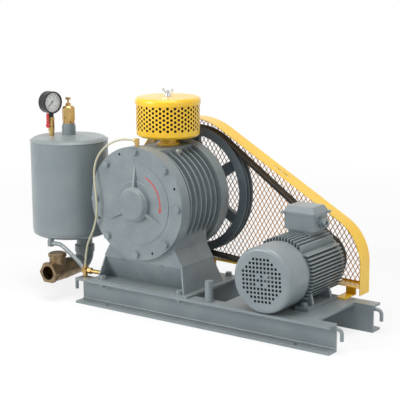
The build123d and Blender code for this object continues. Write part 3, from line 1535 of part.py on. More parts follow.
with BuildPart() as cock_lever:
    with Locations((gauge_x, gauge_y, lever_z)):
        Sphere(ball_r)
    with BuildSketch(upright(gauge_x, gauge_y - ball_r + 1, lever_z)):
        Circle(lever_pin_r)
    extrude(amount=cock_r + 9 - ball_r)
    with BuildSketch(Plane.XY.offset(lever_z - ball_r)):
        with Locations((gauge_x, gauge_y)):
            Circle(3)
    extrude(amount=2 * ball_r, mode=Mode.SUBTRACT)
    # flat handle in front of the gland
    with BuildSketch(upright(gauge_x, gauge_y - cock_r - 5.6, lever_z)):
        Circle(7)
        with Locations((0, lever_length / 2)):
            SlotOverall(lever_length, 9, rotation=90)
    extrude(amount=2)
cock_lever.part.label = "cock_lever"
export_step(cock_lever.part, "parts/cock_lever.step")

gauge_z = cock_z + cock_h + 11 + gauge_r
gauge_dir = Vector(cos(radians(gauge_turn)), sin(radians(gauge_turn)), 0)


def dial_plane(forward):
    """Plane across the gauge, a given way in front of its middle."""
    middle = Vector(gauge_x, gauge_y, gauge_z) + gauge_dir * forward
    return Plane(tuple(middle), x_dir=(-gauge_dir.Y, gauge_dir.X, 0), z_dir=tuple(gauge_dir))


dial_back = gauge_front - dial_recess
with BuildPart() as gauge_case:
    with BuildSketch(dial_plane(gauge_front - gauge_depth)):
        Circle(gauge_r)
    extrude(amount=gauge_depth)
    fillet(gauge_case.edges().filter_by(GeomType.CIRCLE).sort_by(lambda e: e.center().X)[0], 4)
    with BuildSketch(dial_plane(dial_back)):
        Circle(gauge_r - bezel_w)
    extrude(amount=dial_recess, mode=Mode.SUBTRACT)
    with BuildSketch(Plane.XY.offset(cock_z + cock_h)):
        with Locations((gauge_x, gauge_y)):
            RegularPolygon(7, 6, major_radius=False)
    extrude(amount=14)
gauge_case.part.label = "gauge_case"
export_step(gauge_case.part, "parts/gauge_case.step")

with BuildPart() as gauge_dial:
    with BuildSketch(dial_plane(dial_back)):
        Circle(gauge_r - bezel_w)
    extrude(amount=1)
    with BuildSketch(dial_plane(dial_back + 1)):
        Circle(needle_pin_r)
    extrude(amount=2.4)
gauge_dial.part.label = "gauge_dial"
export_step(gauge_dial.part, "parts/gauge_dial.step")

with BuildPart() as gauge_needle:
    with BuildSketch(dial_plane(dial_back + 1.6)):
        Circle(3)
        with BuildLine():
            tip = rim_point(0, 0, gauge_r - bezel_w - 7, needle_rest)
            tail = rim_point(0, 0, -7, needle_rest)
            side = Vector(sin(radians(needle_rest)), -cos(radians(needle_rest)))
            Polyline(tip, Vector(*tail) + side * 1.6, Vector(*tail) - side * 1.6, close=True)
        make_face()
        Circle(needle_pin_r + bearing_fit, mode=Mode.SUBTRACT)
    extrude(amount=1)
gauge_needle.part.label = "gauge_needle"
export_step(gauge_needle.part, "parts/gauge_needle.step")

with BuildPart() as gauge_lens:
    with BuildSketch(dial_plane(gauge_front - 2.5)):
        Circle(gauge_r - bezel_w)
    extrude(amount=1.5)
gauge_lens.part.label = "gauge_lens"
export_step(gauge_lens.part, "parts/gauge_lens.step")

# ================================================================ oil lines
with BuildPart() as oil_fittings:
    # elbow on the rim of the front cover
    with BuildSketch(Plane.XY.offset(pump_z + flange_r - 3)):
        with Locations((cover_fitting_x, casing_front - cover_t / 2)):
            Circle(5)
    extrude(amount=14)
    with BuildSketch(Plane.XY.offset(pump_z + flange_r + 6)):
        with Locations((cover_fitting_x, casing_front - cover_t / 2)):
            RegularPolygon(6.5, 6, major_radius=False)
    extrude(amount=16)
    with BuildSketch(Plane.YZ.offset(cover_fitting_x)):
        with Locations((casing_front - cover_t / 2, tube_start_z)):
            Circle(5)
    extrude(amount=-10)
    with BuildSketch(upright(pump_x, casing_front, pump_z)):
        Circle(flange_r)
    extrude(amount=cover_t, mode=Mode.SUBTRACT)
    # tee beside the pedestal, with its drain plug
    with BuildSketch(upright(tee_x, tee_y + 9, tee_z)):
        Circle(tee_r)
    extrude(amount=18)
    with BuildSketch(Plane.XY.offset(tee_z - 18)):
        with Locations((tee_x, tee_y)):
            RegularPolygon(6.5, 6, major_radius=False)
    extrude(amount=7)
    with BuildSketch(Plane.XY.offset(tee_z - 14)):
        with Locations((tee_x, tee_y)):
            Circle(5.5)
    extrude(amount=14)
    with BuildSketch(Plane.XY.offset(tee_z)):
        with Locations((tee_x, tee_y)):
            Circle(6)
    extrude(amount=tee_r + 6)
    with BuildSketch(Plane.YZ.offset(tee_x)):
        with Locations((tee_y, tee_z)):
            Circle(6)
    extrude(amount=base_x - pedestal_top_length / 2 - pedestal_slope + 6 - tee_x)
    with BuildSketch(Plane.YZ.offset(tee_x + tee_r + 3)):
        with Locations((tee_y, tee_z)):
            RegularPolygon(8, 6, major_radius=False)
    extrude(amount=12)
    # hexagon boss under the tank for the return pipe
    with BuildSketch(Plane.XY.offset(drain_z - 9)):
        with Locations((drain_x, drain_y)):
            RegularPolygon(9, 6, major_radius=False)
    extrude(amount=18)
    with BuildSketch(Plane.XY.offset(drain_z + 5)):
        with Locations((drain_x, drain_y)):
            Circle(8)
    extrude(amount=30)
    add(tank_body.part, mode=Mode.SUBTRACT)
    add(pedestal.part, mode=Mode.SUBTRACT)
oil_fittings.part.label = "oil_fittings"
export_step(oil_fittings.part, "parts/oil_fittings.step")

with BuildPart() as return_pipe:
    with BuildLine() as route:
        Spline(
            (drain_x + 8, drain_y, drain_z), (-505, -110, 158), (-482, -110, 149),
            (-455, -110, 132), (-428, -110, 114), (tee_x, tee_y, tee_z),
            tangents=((1, 0, 0), (0.8, 0, -0.6)),
        )
    with BuildSketch(Plane(route.line @ 0, z_dir=route.line % 0)):
        Circle(return_r)
    sweep()
    add(oil_fittings.part, mode=Mode.SUBTRACT)
return_pipe.part.label = "oil_return_pipe"
export_step(return_pipe.part, "parts/oil_return_pipe.step")

with BuildPart() as oil_tube:
    with BuildLine() as route:
        Spline(
            (cover_fitting_x - 10, casing_front - cover_t / 2, tube_start_z),
            (-284, -114, 482), (-331, -121, 446), (-344, -128, 411), (-338, -135.5, 342),
            (-335, -135.5, 285), (-341, -134, 254), (-368, -124, 206), (-395, -114, 157),
            (tee_x - 0.5, tee_y, tee_z + tee_r + 14), (tee_x, tee_y, tee_z + tee_r + 6),
            tangents=((-1, 0, 0), (0, 0, -1)),
        )
    with BuildSketch(Plane(route.line @ 0, z_dir=route.line % 0)):
        Circle(tube_r)
    sweep()
oil_tube.part.label = "oil_tube"
export_step(oil_tube.part, "parts/oil_tube.step")

with BuildPart() as jack_bolt:
    with BuildSketch(Plane.XY.offset(rail_height)):
        with Locations((jack_x, jack_y)):
            Circle(13.5)
    extrude(amount=6)
    with BuildSketch(Plane.XY.offset(rail_height + 6)):
        with Locations((jack_x, jack_y)):
            Circle(11.5)
    extrude(amount=31)
    with BuildSketch(Plane.XY.offset(rail_height + 37)):
        with Locations((jack_x, jack_y)):
            RegularPolygon(10.5, 6, major_radius=False)
    extrude(amount=20)
jack_bolt.part.label = "jack_bolt"
export_step(jack_bolt.part, "parts/jack_bolt.step")
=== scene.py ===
"""Looks, fine metalwork, lamps and camera for a belt-driven rotary vacuum pump set."""

from __future__ import annotations

import json
import logging
import math
from dataclasses import dataclass, field
from enum import Enum
from typing import Any, ClassVar, Iterable, Sequence

import bmesh
import bpy
from mathutils import Matrix, Vector

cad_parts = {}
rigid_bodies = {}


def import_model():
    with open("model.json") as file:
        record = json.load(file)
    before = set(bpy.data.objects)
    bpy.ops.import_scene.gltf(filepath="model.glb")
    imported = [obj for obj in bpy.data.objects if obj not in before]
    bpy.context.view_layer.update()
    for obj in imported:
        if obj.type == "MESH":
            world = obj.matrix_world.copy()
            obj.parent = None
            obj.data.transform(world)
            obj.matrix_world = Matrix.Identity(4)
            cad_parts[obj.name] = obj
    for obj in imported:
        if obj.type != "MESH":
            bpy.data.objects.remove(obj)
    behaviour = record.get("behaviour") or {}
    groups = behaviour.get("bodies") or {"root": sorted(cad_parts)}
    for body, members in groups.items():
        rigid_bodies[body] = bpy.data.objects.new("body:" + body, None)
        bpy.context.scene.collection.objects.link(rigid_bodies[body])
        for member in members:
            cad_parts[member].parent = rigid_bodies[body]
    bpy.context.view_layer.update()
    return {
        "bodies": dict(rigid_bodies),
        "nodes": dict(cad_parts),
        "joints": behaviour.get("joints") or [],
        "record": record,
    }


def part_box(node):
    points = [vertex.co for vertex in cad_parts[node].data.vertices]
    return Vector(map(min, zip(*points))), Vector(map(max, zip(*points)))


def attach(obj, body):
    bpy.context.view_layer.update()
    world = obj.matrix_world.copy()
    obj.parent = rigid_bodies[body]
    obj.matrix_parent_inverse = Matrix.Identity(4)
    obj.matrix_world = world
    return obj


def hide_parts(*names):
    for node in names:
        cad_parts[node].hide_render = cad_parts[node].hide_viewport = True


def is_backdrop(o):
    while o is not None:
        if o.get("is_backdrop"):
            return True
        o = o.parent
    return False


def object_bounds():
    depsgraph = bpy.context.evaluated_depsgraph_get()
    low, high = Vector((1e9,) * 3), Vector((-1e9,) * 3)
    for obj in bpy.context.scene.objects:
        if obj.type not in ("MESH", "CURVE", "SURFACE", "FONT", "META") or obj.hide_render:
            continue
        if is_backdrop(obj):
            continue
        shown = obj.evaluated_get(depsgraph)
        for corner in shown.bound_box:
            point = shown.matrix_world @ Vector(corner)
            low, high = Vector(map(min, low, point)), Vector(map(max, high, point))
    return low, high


LOG = logging.getLogger("pump_set")
MM = 0.001


# ------------------------------------------------------------------ places in the frame
class Places:
    """Reads sizes and places off the frame's solids and joints, in millimetres."""

    def __init__(self, frame: dict[str, Any]) -> None:
        """Keep the frame's solids and joints by name.
        """
        self.nodes: dict[str, bpy.types.Object] = frame["nodes"]
        self.joints: dict[str, dict[str, Any]] = {
            joint["name"]: joint for joint in frame["record"]["behaviour"]["joints"]
        }

    def pivot(self, joint: str) -> Vector:
        """Give the point that a joint turns about."""
        return Vector(self.joints[joint]["pos_m"]) / MM

    @staticmethod
    def box(node: str) -> tuple[Vector, Vector]:
        """Give a solid's lowest and highest corners."""
        low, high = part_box(node)
        return low / MM, high / MM


# ------------------------------------------------------------------ node trees
def linear(code: str) -> tuple[float, float, float, float]:
    """Turn an sRGB hex code into a linear colour.

    Args:
        code: Six hex digits after a hash.

    Returns:
        Linear red, green, blue and a full alpha.
    """
    parts = [int(code[i:i + 2], 16) / 255 for i in (1, 3, 5)]
    red, green, blue = (
        c / 12.92 if c <= 0.04045 else ((c + 0.055) / 1.055) ** 2.4 for c in parts
    )
    return red, green, blue, 1.0


def add_node(tree: bpy.types.NodeTree, kind: str, feeds: dict[Any, Any] | None = None,
             **settings: Any) -> bpy.types.Node:
    """Add one node to a shader or geometry tree.

    Args:
        tree: The tree that gets the node.
        kind: Blender's name for the node type.
        feeds: What each input takes, by name or number: a socket to link or a value to set.
        **settings: Properties of the node itself.

    Returns:
        The new node.
    """
    node = tree.nodes.new(kind)
    for name, value in settings.items():
        setattr(node, name, value)
    for key, value in (feeds or {}).items():
        if isinstance(value, bpy.types.NodeSocket):
            tree.links.new(value, node.inputs[key])
        else:
            node.inputs[key].default_value = value
    return node


def maths(tree: bpy.types.NodeTree, operation: str, *values: Any,
          clamp: bool = False) -> bpy.types.NodeSocket:
    """Add a maths node and give back its result.

    Args:
        tree: The tree that gets the node.
        operation: Blender's name for the sum to do.
        *values: One to three sockets or numbers.
        clamp: Whether the result is kept from 0 to 1.

    Returns:
        The result's socket.
    """
    node = add_node(tree, "ShaderNodeMath", dict(enumerate(values)), operation=operation,
                    use_clamp=clamp)
    return node.outputs[0]


def vector(tree: bpy.types.NodeTree, x: Any = 0.0, y: Any = 0.0,
           z: Any = 0.0) -> bpy.types.NodeSocket:
    """Join three sockets or numbers into a vector."""
    return add_node(tree, "ShaderNodeCombineXYZ", {"X": x, "Y": y, "Z": z}).outputs[0]


def join(tree: bpy.types.NodeTree, *shapes: bpy.types.NodeSocket) -> bpy.types.NodeSocket:
    """Put several shapes of a geometry tree together.

    Args:
        tree: The tree that gets the node.
        *shapes: What goes in, in order.

    Returns:
        All of them as one.
    """
    both = add_node(tree, "GeometryNodeJoinGeometry")
    for shape in shapes:
        tree.links.new(shape, both.inputs[0])
    return both.outputs[0]


# ------------------------------------------------------------------ finishes
class Surface(Enum):
    """How the skin of a finish is formed."""

    SHEET_PAINT = "paint over rolled steel"
    CAST_PAINT = "paint over a sand casting"
    TURNED = "turned bar"
    SAND_CAST = "bare sand casting"
    MOULDED = "moulded or printed"
    PLEATED = "pleated paper"
    CLEAR = "clear pane"


@dataclass(frozen=True)
class Finish:
    """One finish, with its pattern sizes in millimetres.

    Orange peel, sand marks and tool marks are under half a millimetre on the real thing.
    They are drawn two to four times as coarse, so that they show.
    """

    name: str
    colour: str
    drift: str               # second colour, in wide soft patches
    surface: Surface
    slot: str
    metallic: float = 0.0
    roughness: float = 0.45
    patch: float = 70.0      # width of those patches
    grain: float = 1.6       # width of the fine pattern
    relief: float = 0.05     # its height
    bare: str = ""           # what shows where the edges are rubbed
    wear: float = 0.0
    dust: float = 0.0
    coat: float = 0.0


# Alkyd enamel sprayed on rolled steel: even satin grey with a faint orange peel.
GREY_SHEET = Finish("grey_sheet_paint", "#828C8F", "#747F84", Surface.SHEET_PAINT, "grey_paint",
                    roughness=0.36, patch=120, grain=1.4, relief=0.03, bare="#B3B8BA", wear=0.5,
                    dust=0.10, coat=0.25)
# The same enamel on a sand casting: the pits of the sand break its sheen up.
GREY_CAST = Finish("grey_cast_paint", "#808A8D", "#717C81", Surface.CAST_PAINT, "grey_paint",
                   roughness=0.40, patch=60, grain=2.6, relief=0.12, bare="#AEB4B6", wear=0.5,
                   dust=0.12, coat=0.2)
# Darker enamel on the turned iron sheaves: flatter, and rubbed at the rims.
GREY_DARK = Finish("grey_drive_paint", "#616C72", "#545F66", Surface.CAST_PAINT, "grey_paint",
                   roughness=0.42, patch=50, grain=2.2, relief=0.10, bare="#9BA1A4", wear=0.6,
                   dust=0.10, coat=0.1)
# Gloss enamel on pressed sheet: a strong warm yellow with soft highlights.
YELLOW = Finish("yellow_paint", "#F6C91A", "#F2BE12", Surface.SHEET_PAINT, "yellow_paint",
                roughness=0.30, patch=90, grain=1.2, relief=0.02, bare="#E0B45A", wear=0.35,
                coat=0.4)
# The same yellow, dipped on expanded metal: thicker and duller. Its darker, browner colour is
# painted shade, for strands seen from their shaded side.
YELLOW_MESH_PAINTED_SHADE = Finish("yellow_dipped_paint", "#F0A81E", "#DF9212", Surface.SHEET_PAINT,
                     "yellow_paint", roughness=0.38, patch=40, grain=1.0, relief=0.02, coat=0.2)
# Bare sand-cast brass: a brown skin, with brighter metal where it is rubbed.
BRASS_CAST = Finish("cast_brass", "#978468", "#75634D", Surface.SAND_CAST, "brass", metallic=1.0,
                    roughness=0.42, patch=14, grain=1.1, relief=0.14, bare="#D9BC86", wear=0.8)
# Brass turned from bar: clean yellow metal with long fine highlights.
BRASS_TURNED = Finish("turned_brass", "#C8AB72", "#B4935B", Surface.TURNED, "brass",
                      metallic=1.0, roughness=0.27, patch=18, grain=0.35, relief=0.01)
# Bright zinc plate on steel: small pale parts with a blurred mirror look.
ZINC = Finish("bright_zinc", "#C3C5C4", "#ABAFB0", Surface.TURNED, "bright_steel", metallic=1.0,
              roughness=0.30, patch=9, grain=0.4, relief=0.012)
# Ground and turned steel: grey metal, a little darker than the plated parts.
STEEL = Finish("machined_steel", "#8D9092", "#7C8083", Surface.TURNED, "dark_steel",
               metallic=1.0, roughness=0.34, patch=25, grain=0.5, relief=0.012)
# Bare grey iron: dull and slightly rough.
IRON = Finish("bare_iron", "#63676A", "#55595C", Surface.SAND_CAST, "iron", metallic=0.8,
              roughness=0.55, patch=30, grain=1.8, relief=0.10)
# Belt rubber with a cloth cover: matt brown black with a little dust.
RUBBER = Finish("belt_rubber", "#2B2725", "#3A3430", Surface.MOULDED, "rubber", roughness=0.72,
                patch=28, grain=0.8, relief=0.06, dust=0.12)
# Natural nylon tube: milky and faintly yellow, with a soft sheen.
TUBE = Finish("oil_tube_nylon", "#BEBBA2", "#ABA88D", Surface.MOULDED, "tube", roughness=0.36,
              patch=45, grain=2.0, relief=0.02, coat=0.2)
# Vinyl dipped on the cock's lever: glossy red that rounds its edges.
RED_DIP = Finish("red_vinyl", "#C8232B", "#B01D25", Surface.MOULDED, "red", roughness=0.34,
                 patch=12, grain=0.9, relief=0.03, coat=0.3)
# Black stove enamel: deep, even and half glossy.
BLACK = Finish("black_enamel", "#0E0F10", "#17181A", Surface.MOULDED, "black", roughness=0.34,
               patch=20, grain=0.9, relief=0.015)
# White lacquer on a tin dial: flat and even.
DIAL = Finish("dial_white", "#EEF1F2", "#E2E6E8", Surface.MOULDED, "white", roughness=0.5,
              patch=20, grain=0.5, relief=0.004)
# Black needle felt with no sheen. Its black is painted shade, so that the holes in front of it
# look deep.
FELT_PAINTED_SHADE = Finish("black_felt", "#141210", "#1E1B18", Surface.MOULDED, "paper", roughness=0.95,
              patch=18, grain=0.9, relief=0.2)
# Pleated filter paper: warm buff with a fold every few millimetres.
PAPER = Finish("filter_paper", "#D8CDA8", "#C8BC94", Surface.PLEATED, "paper", roughness=0.85,
               patch=16, grain=0.6, relief=0.08)
# Moulded glass-filled nylon: dark grey and half matt.
FAN = Finish("fan_nylon", "#2A2C2F", "#36393C", Surface.MOULDED, "plastic", roughness=0.5,
             patch=30, grain=0.9, relief=0.03)
# Flat window glass, seen nearly straight on: almost nothing but its reflection.
LENS = Finish("clear_pane", "#F2F6F7", "#E8EEF0", Surface.CLEAR, "lens", roughness=0.05,
              patch=25, grain=4.0, relief=0.002)
# Pressed carbon: nearly black and smooth.
VANE = Finish("carbon_vane", "#2E2C2A", "#3B3835", Surface.MOULDED, "vane", roughness=0.5,
              patch=22, grain=0.7, relief=0.02)
# Brushed-on sign enamel: a plain red, slightly raised.
SIGN_RED = Finish("arrow_enamel", "#C33A33", "#B5302B", Surface.MOULDED, "red", roughness=0.42,
                  patch=14, grain=1.0, relief=0.015)


class Paintshop:
    """Makes each finish once, as a procedural material."""

    DUST = "#C9C4B8"
    EDGE_ROUND = 1.2         # radius that counts as an edge
    RUB_WIDTH = 22.0         # width of one rubbed spot
    PANE_ALPHA = 0.12        # how much a clear pane hides
    COAT_ROUGHNESS = 0.18
    PLEAT_BANDS = 12         # grains in one pleat

    def __init__(self) -> None:
        """Start with no material made."""
        self.made: dict[str, bpy.types.Material] = {}

    def material(self, finish: Finish) -> bpy.types.Material:
        """Give the material of a finish, built at its first use.

        Args:
            finish: The finish wanted.

        Returns:
            The material.
        """
        if finish.name not in self.made:
            self.made[finish.name] = self._build(finish)
        return self.made[finish.name]

    def _build(self, finish: Finish) -> bpy.types.Material:
        """Build the node tree of one finish.

        Args:
            finish: The finish to build.

        Returns:
            The new material.
        """
        material = bpy.data.materials.new(finish.name)
        material.use_nodes = True
        tree = material.node_tree
        tree.nodes.clear()
        place = add_node(tree, "ShaderNodeTexCoord").outputs["Object"]
        patches = add_node(tree, "ShaderNodeTexNoise", {
            "Vector": place, "Scale": 1 / (finish.patch * MM), "Detail": 4.0, "Roughness": 0.55,
        }).outputs["Fac"]
        grain = self._grain(tree, place, finish)
        blend = add_node(tree, "ShaderNodeMapRange", {
            "Value": patches, "From Min": 0.32, "From Max": 0.68,
        }).outputs["Result"]
        colour = self._mix(tree, blend, linear(finish.colour), linear(finish.drift))
        fleck = add_node(tree, "ShaderNodeMapRange", {
            "Value": grain, "From Min": 0.2, "From Max": 0.8, "To Min": 0.94, "To Max": 1.05,
        }).outputs["Result"]
        colour = add_node(tree, "ShaderNodeMix", {0: 1.0, 6: colour, 7: fleck}, data_type="RGBA",
                          blend_type="MULTIPLY").outputs[2]
        rough = add_node(tree, "ShaderNodeMapRange", {
            "Value": patches, "From Min": 0.3, "From Max": 0.7,
            "To Min": finish.roughness * 0.82, "To Max": min(1.0, finish.roughness * 1.2),
        }).outputs["Result"]
        if finish.dust:
            colour, rough = self._dust(tree, finish, patches, colour, rough)
        if finish.wear:
            colour, rough = self._worn(tree, finish, place, colour, rough)
        bump = add_node(tree, "ShaderNodeBump", {
            "Strength": 1.0, "Distance": finish.relief * MM, "Height": grain,
        })
        shader = add_node(tree, "ShaderNodeBsdfPrincipled", {
            "Base Color": colour, "Roughness": rough, "Metallic": finish.metallic,
            "Normal": bump.outputs["Normal"], "Coat Weight": finish.coat,
            "Coat Roughness": self.COAT_ROUGHNESS,
        })
        if finish.surface is Surface.CLEAR:
            shader.inputs["Alpha"].default_value = self.PANE_ALPHA
        add_node(tree, "ShaderNodeOutputMaterial", {"Surface": shader.outputs["BSDF"]})
        return material

    @staticmethod
    def _mix(tree: bpy.types.NodeTree, share: Any, one: Any, other: Any) -> bpy.types.NodeSocket:
        """Mix two colours, from one at share 0 to the other at 1."""
        return add_node(tree, "ShaderNodeMix", {0: share, 6: one, 7: other},
                        data_type="RGBA").outputs[2]

    def _grain(self, tree: bpy.types.NodeTree, place: bpy.types.NodeSocket,
               finish: Finish) -> bpy.types.NodeSocket:
        """Make the fine pattern that drives relief and flecks.

        Args:
            tree: The material's tree.
            place: Object coordinates.
            finish: The finish being built.

        Returns:
            A height from 0 to 1.
        """
        scale = 1 / (finish.grain * MM)
        if finish.surface is Surface.PLEATED:
            return add_node(tree, "ShaderNodeTexWave", {
                "Vector": place, "Scale": scale / self.PLEAT_BANDS, "Distortion": 0.6,
            }, wave_type="BANDS", bands_direction="X").outputs["Fac"]
        if finish.surface is Surface.TURNED:
            drawn = add_node(tree, "ShaderNodeMapping", {
                "Vector": place, "Scale": (0.15, 0.15, 1.0),
            }).outputs["Vector"]
            return add_node(tree, "ShaderNodeTexNoise", {
                "Vector": drawn, "Scale": scale, "Detail": 3.0,
            }).outputs["Fac"]
        fine = add_node(tree, "ShaderNodeTexNoise", {
            "Vector": place, "Scale": scale, "Detail": 2.0, "Roughness": 0.5,
        }).outputs["Fac"]
        if finish.surface not in (Surface.SAND_CAST, Surface.CAST_PAINT):
            return fine
        pits = add_node(tree, "ShaderNodeTexVoronoi", {
            "Vector": place, "Scale": scale * 0.5,
        }, feature="SMOOTH_F1").outputs["Distance"]
        return maths(tree, "ADD", maths(tree, "MULTIPLY", fine, 0.6),
                     maths(tree, "MULTIPLY", pits, 0.4))

    def _dust(self, tree: bpy.types.NodeTree, finish: Finish, patches: bpy.types.NodeSocket,
              colour: bpy.types.NodeSocket, rough: bpy.types.NodeSocket) -> tuple[Any, Any]:
        """Lay a thin film of dust on what faces up.

        Args:
            tree: The material's tree.
            finish: The finish being built.
            patches: The wide pattern that breaks the film up.
            colour: Colour under the dust.
            rough: Roughness under the dust.

        Returns:
            Colour and roughness with the dust.
        """
        facing = add_node(tree, "ShaderNodeNewGeometry").outputs["Normal"]
        up = add_node(tree, "ShaderNodeSeparateXYZ", {0: facing}).outputs["Z"]
        film = maths(tree, "MULTIPLY", maths(tree, "MULTIPLY", up, patches, clamp=True),
                     2.0 * finish.dust, clamp=True)
        return (self._mix(tree, film, colour, linear(self.DUST)),
                maths(tree, "ADD", rough, maths(tree, "MULTIPLY", film, 0.5), clamp=True))

    def _worn(self, tree: bpy.types.NodeTree, finish: Finish, place: bpy.types.NodeSocket,
              colour: bpy.types.NodeSocket, rough: bpy.types.NodeSocket) -> tuple[Any, Any]:
        """Rub the finish thin along its edges.

        Args:
            tree: The material's tree.
            finish: The finish being built.
            place: Object coordinates.
            colour: Colour of the whole finish.
            rough: Roughness of the whole finish.

        Returns:
            Colour and roughness with worn edges.
        """
        round_normal = add_node(tree, "ShaderNodeBevel", {"Radius": self.EDGE_ROUND * MM},
                                samples=4)
        flat = add_node(tree, "ShaderNodeNewGeometry").outputs["Normal"]
        turn = add_node(tree, "ShaderNodeVectorMath", {
            0: round_normal.outputs["Normal"], 1: flat,
        }, operation="DOT_PRODUCT").outputs["Value"]
        edge = add_node(tree, "ShaderNodeMapRange", {
            "Value": turn, "From Min": 0.985, "From Max": 0.86,
        }).outputs["Result"]
        rubs = add_node(tree, "ShaderNodeTexNoise", {
            "Vector": place, "Scale": 1 / (self.RUB_WIDTH * MM), "Detail": 5.0,
        }).outputs["Fac"]
        share = maths(tree, "MULTIPLY", edge, maths(tree, "MULTIPLY", rubs, finish.wear))
        return (self._mix(tree, share, colour, linear(finish.bare)),
                maths(tree, "SUBTRACT", rough, maths(tree, "MULTIPLY", share, 0.12)))


# ------------------------------------------------------------------ workshop
def new_object(name: str, points: Sequence[Sequence[float]],
               faces: Sequence[Sequence[int]] = ()) -> bpy.types.Object:
    """Make a mesh object from corners and faces.

    Args:
        name: Name of the piece.
        points: Corners in metres.
        faces: Corner numbers of each face.

    Returns:
        The object, linked to the scene.
    """
    mesh = bpy.data.meshes.new(name)
    mesh.from_pydata([tuple(p) for p in points], [], [tuple(f) for f in faces])
    mesh.update()
    piece = bpy.data.objects.new(name, mesh)
    bpy.context.scene.collection.objects.link(piece)
    return piece


def settle(piece: bpy.types.Object) -> bpy.types.Object:
    """Turn what the modifiers or the text make into the piece's own plain mesh.

    Args:
        piece: An object with modifiers, or a text object.

    Returns:
        A mesh object of the same name.
    """
    graph = bpy.context.evaluated_depsgraph_get()
    mesh = bpy.data.meshes.new_from_object(piece.evaluated_get(graph),
                                           preserve_all_data_layers=True, depsgraph=graph)
    name = piece.name
    bpy.data.objects.remove(piece)
    made = bpy.data.objects.new(name, mesh)
    mesh.name = name
    bpy.context.scene.collection.objects.link(made)
    return made


def new_tree(name: str, sizes: dict[str, str]) -> tuple[bpy.types.NodeTree, bpy.types.Node,
                                                        dict[str, str]]:
    """Start a geometry tree with named inputs.

    Args:
        name: Name of the tree.
        sizes: Type of each named input.

    Returns:
        The tree, its input node and each input's identifier.
    """
    tree = bpy.data.node_groups.new(name, "GeometryNodeTree")
    tree.interface.new_socket("Geometry", in_out="INPUT", socket_type="NodeSocketGeometry")
    keys = {
        label: tree.interface.new_socket(label, in_out="INPUT", socket_type=kind).identifier
        for label, kind in sizes.items()
    }
    tree.interface.new_socket("Geometry", in_out="OUTPUT", socket_type="NodeSocketGeometry")
    return tree, tree.nodes.new("NodeGroupInput"), keys


def close_tree(tree: bpy.types.NodeTree, shape: bpy.types.NodeSocket,
               material: bpy.types.Material) -> None:
    """End a geometry tree with real faces and their material.

    Args:
        tree: The tree to end.
        shape: What it has made.
        material: The material of every face.
    """
    real = add_node(tree, "GeometryNodeRealizeInstances", {"Geometry": shape})
    dressed = add_node(tree, "GeometryNodeSetMaterial", {
        "Geometry": real.outputs["Geometry"], "Material": material,
    })
    out = tree.nodes.new("NodeGroupOutput")
    tree.links.new(dressed.outputs["Geometry"], out.inputs["Geometry"])


def grow(piece: bpy.types.Object, tree: bpy.types.NodeTree, keys: dict[str, str],
         sizes: dict[str, Any]) -> bpy.types.Object:
    """Run a geometry tree on a piece and keep the result as its mesh.

    Args:
        piece: The object that the tree starts from.
        tree: The finished tree.
        keys: Each input's identifier.
        sizes: Value of each named input.

    Returns:
        The finished mesh object.
    """
    modifier = piece.modifiers.new(tree.name, "NODES")
    modifier.node_group = tree
    for label, value in sizes.items():
        modifier[keys[label]] = value
    return settle(piece)


def fit_out(piece: bpy.types.Object, body: str, finish: Finish, shop: Paintshop,
            replaces: Iterable[str] = ()) -> bpy.types.Object:
    """Dress a finished piece and tie it to its body.

    Args:
        piece: The piece, in place.
        body: Name of the body that carries it.
        finish: Its finish.
        shop: Where materials are made.
        replaces: Names of the solids that it stands for.

    Returns:
        The piece.
    """
    piece.data.materials.clear()
    piece.data.materials.append(shop.material(finish))
    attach(piece, body)
    if replaces:
        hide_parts(*replaces)
    LOG.info("made %s with %d faces", piece.name, len(piece.data.polygons))
    return piece


# ------------------------------------------------------------------ sub-assemblies
@dataclass
class SolidFinishes:
    """Which finish each solid of the frame gets."""

    plan: dict[Finish, tuple[str, ...]] = field(default_factory=lambda: {
        GREY_SHEET: ("skid_rails", "lashing_hooks", "motor_plate", "fan_cover", "tank_shell",
                     "pipe_nipples", "oil_return_pipe", "terminal_lid", "terminal_box"),
        GREY_CAST: ("pump_pedestal", "pedestal_bolts", "pump_casing", "front_cover",
                    "rear_cover", "cover_bolts", "bearing_cap", "motor_frame",
                    "motor_fan_end_shield", "motor_drive_end_shield", "motor_bolts",
                    "cable_gland", "outlet_elbow", "jack_bolt"),
        GREY_DARK: ("flywheel", "motor_pulley"),
        YELLOW: ("guard_band", "filter_base", "filter_cap"),
        BRASS_CAST: ("check_valve_body", "check_valve_cap", "check_valve_flap"),
        BRASS_TURNED: ("relief_valve_body", "relief_valve_adjuster", "relief_valve_stem",
                       "gauge_cock", "oil_fittings"),
        ZINC: ("filter_stud", "wing_nut", "intake_plug", "relief_valve_spring"),
        STEEL: ("pump_bearings", "rotor_shaft", "motor_bearings", "motor_stator", "motor_shaft",
                "motor_rotor"),
        IRON: ("rotor",),
        RUBBER: ("shaft_seal", "v_belts"),
        VANE: ("vanes",),
        FAN: ("cooling_fan",),
        PAPER: ("filter_element",),
        RED_DIP: ("cock_lever",),
        BLACK: ("gauge_case", "gauge_needle"),
        DIAL: ("gauge_dial",),
        LENS: ("gauge_lens",),
        TUBE: ("oil_tube",),
    })

    def dress(self, nodes: dict[str, bpy.types.Object], shop: Paintshop) -> None:
        """Give every solid its material.

        Args:
            nodes: The frame's solids by name.
            shop: Where materials are made.
        """
        for finish, names in self.plan.items():
            for name in names:
                nodes[name].data.materials.clear()
                nodes[name].data.materials.append(shop.material(finish))
        left = set(nodes) - {n for names in self.plan.values() for n in names}
        LOG.info("dressed %d solids, replaced %s", len(nodes) - len(left), sorted(left))


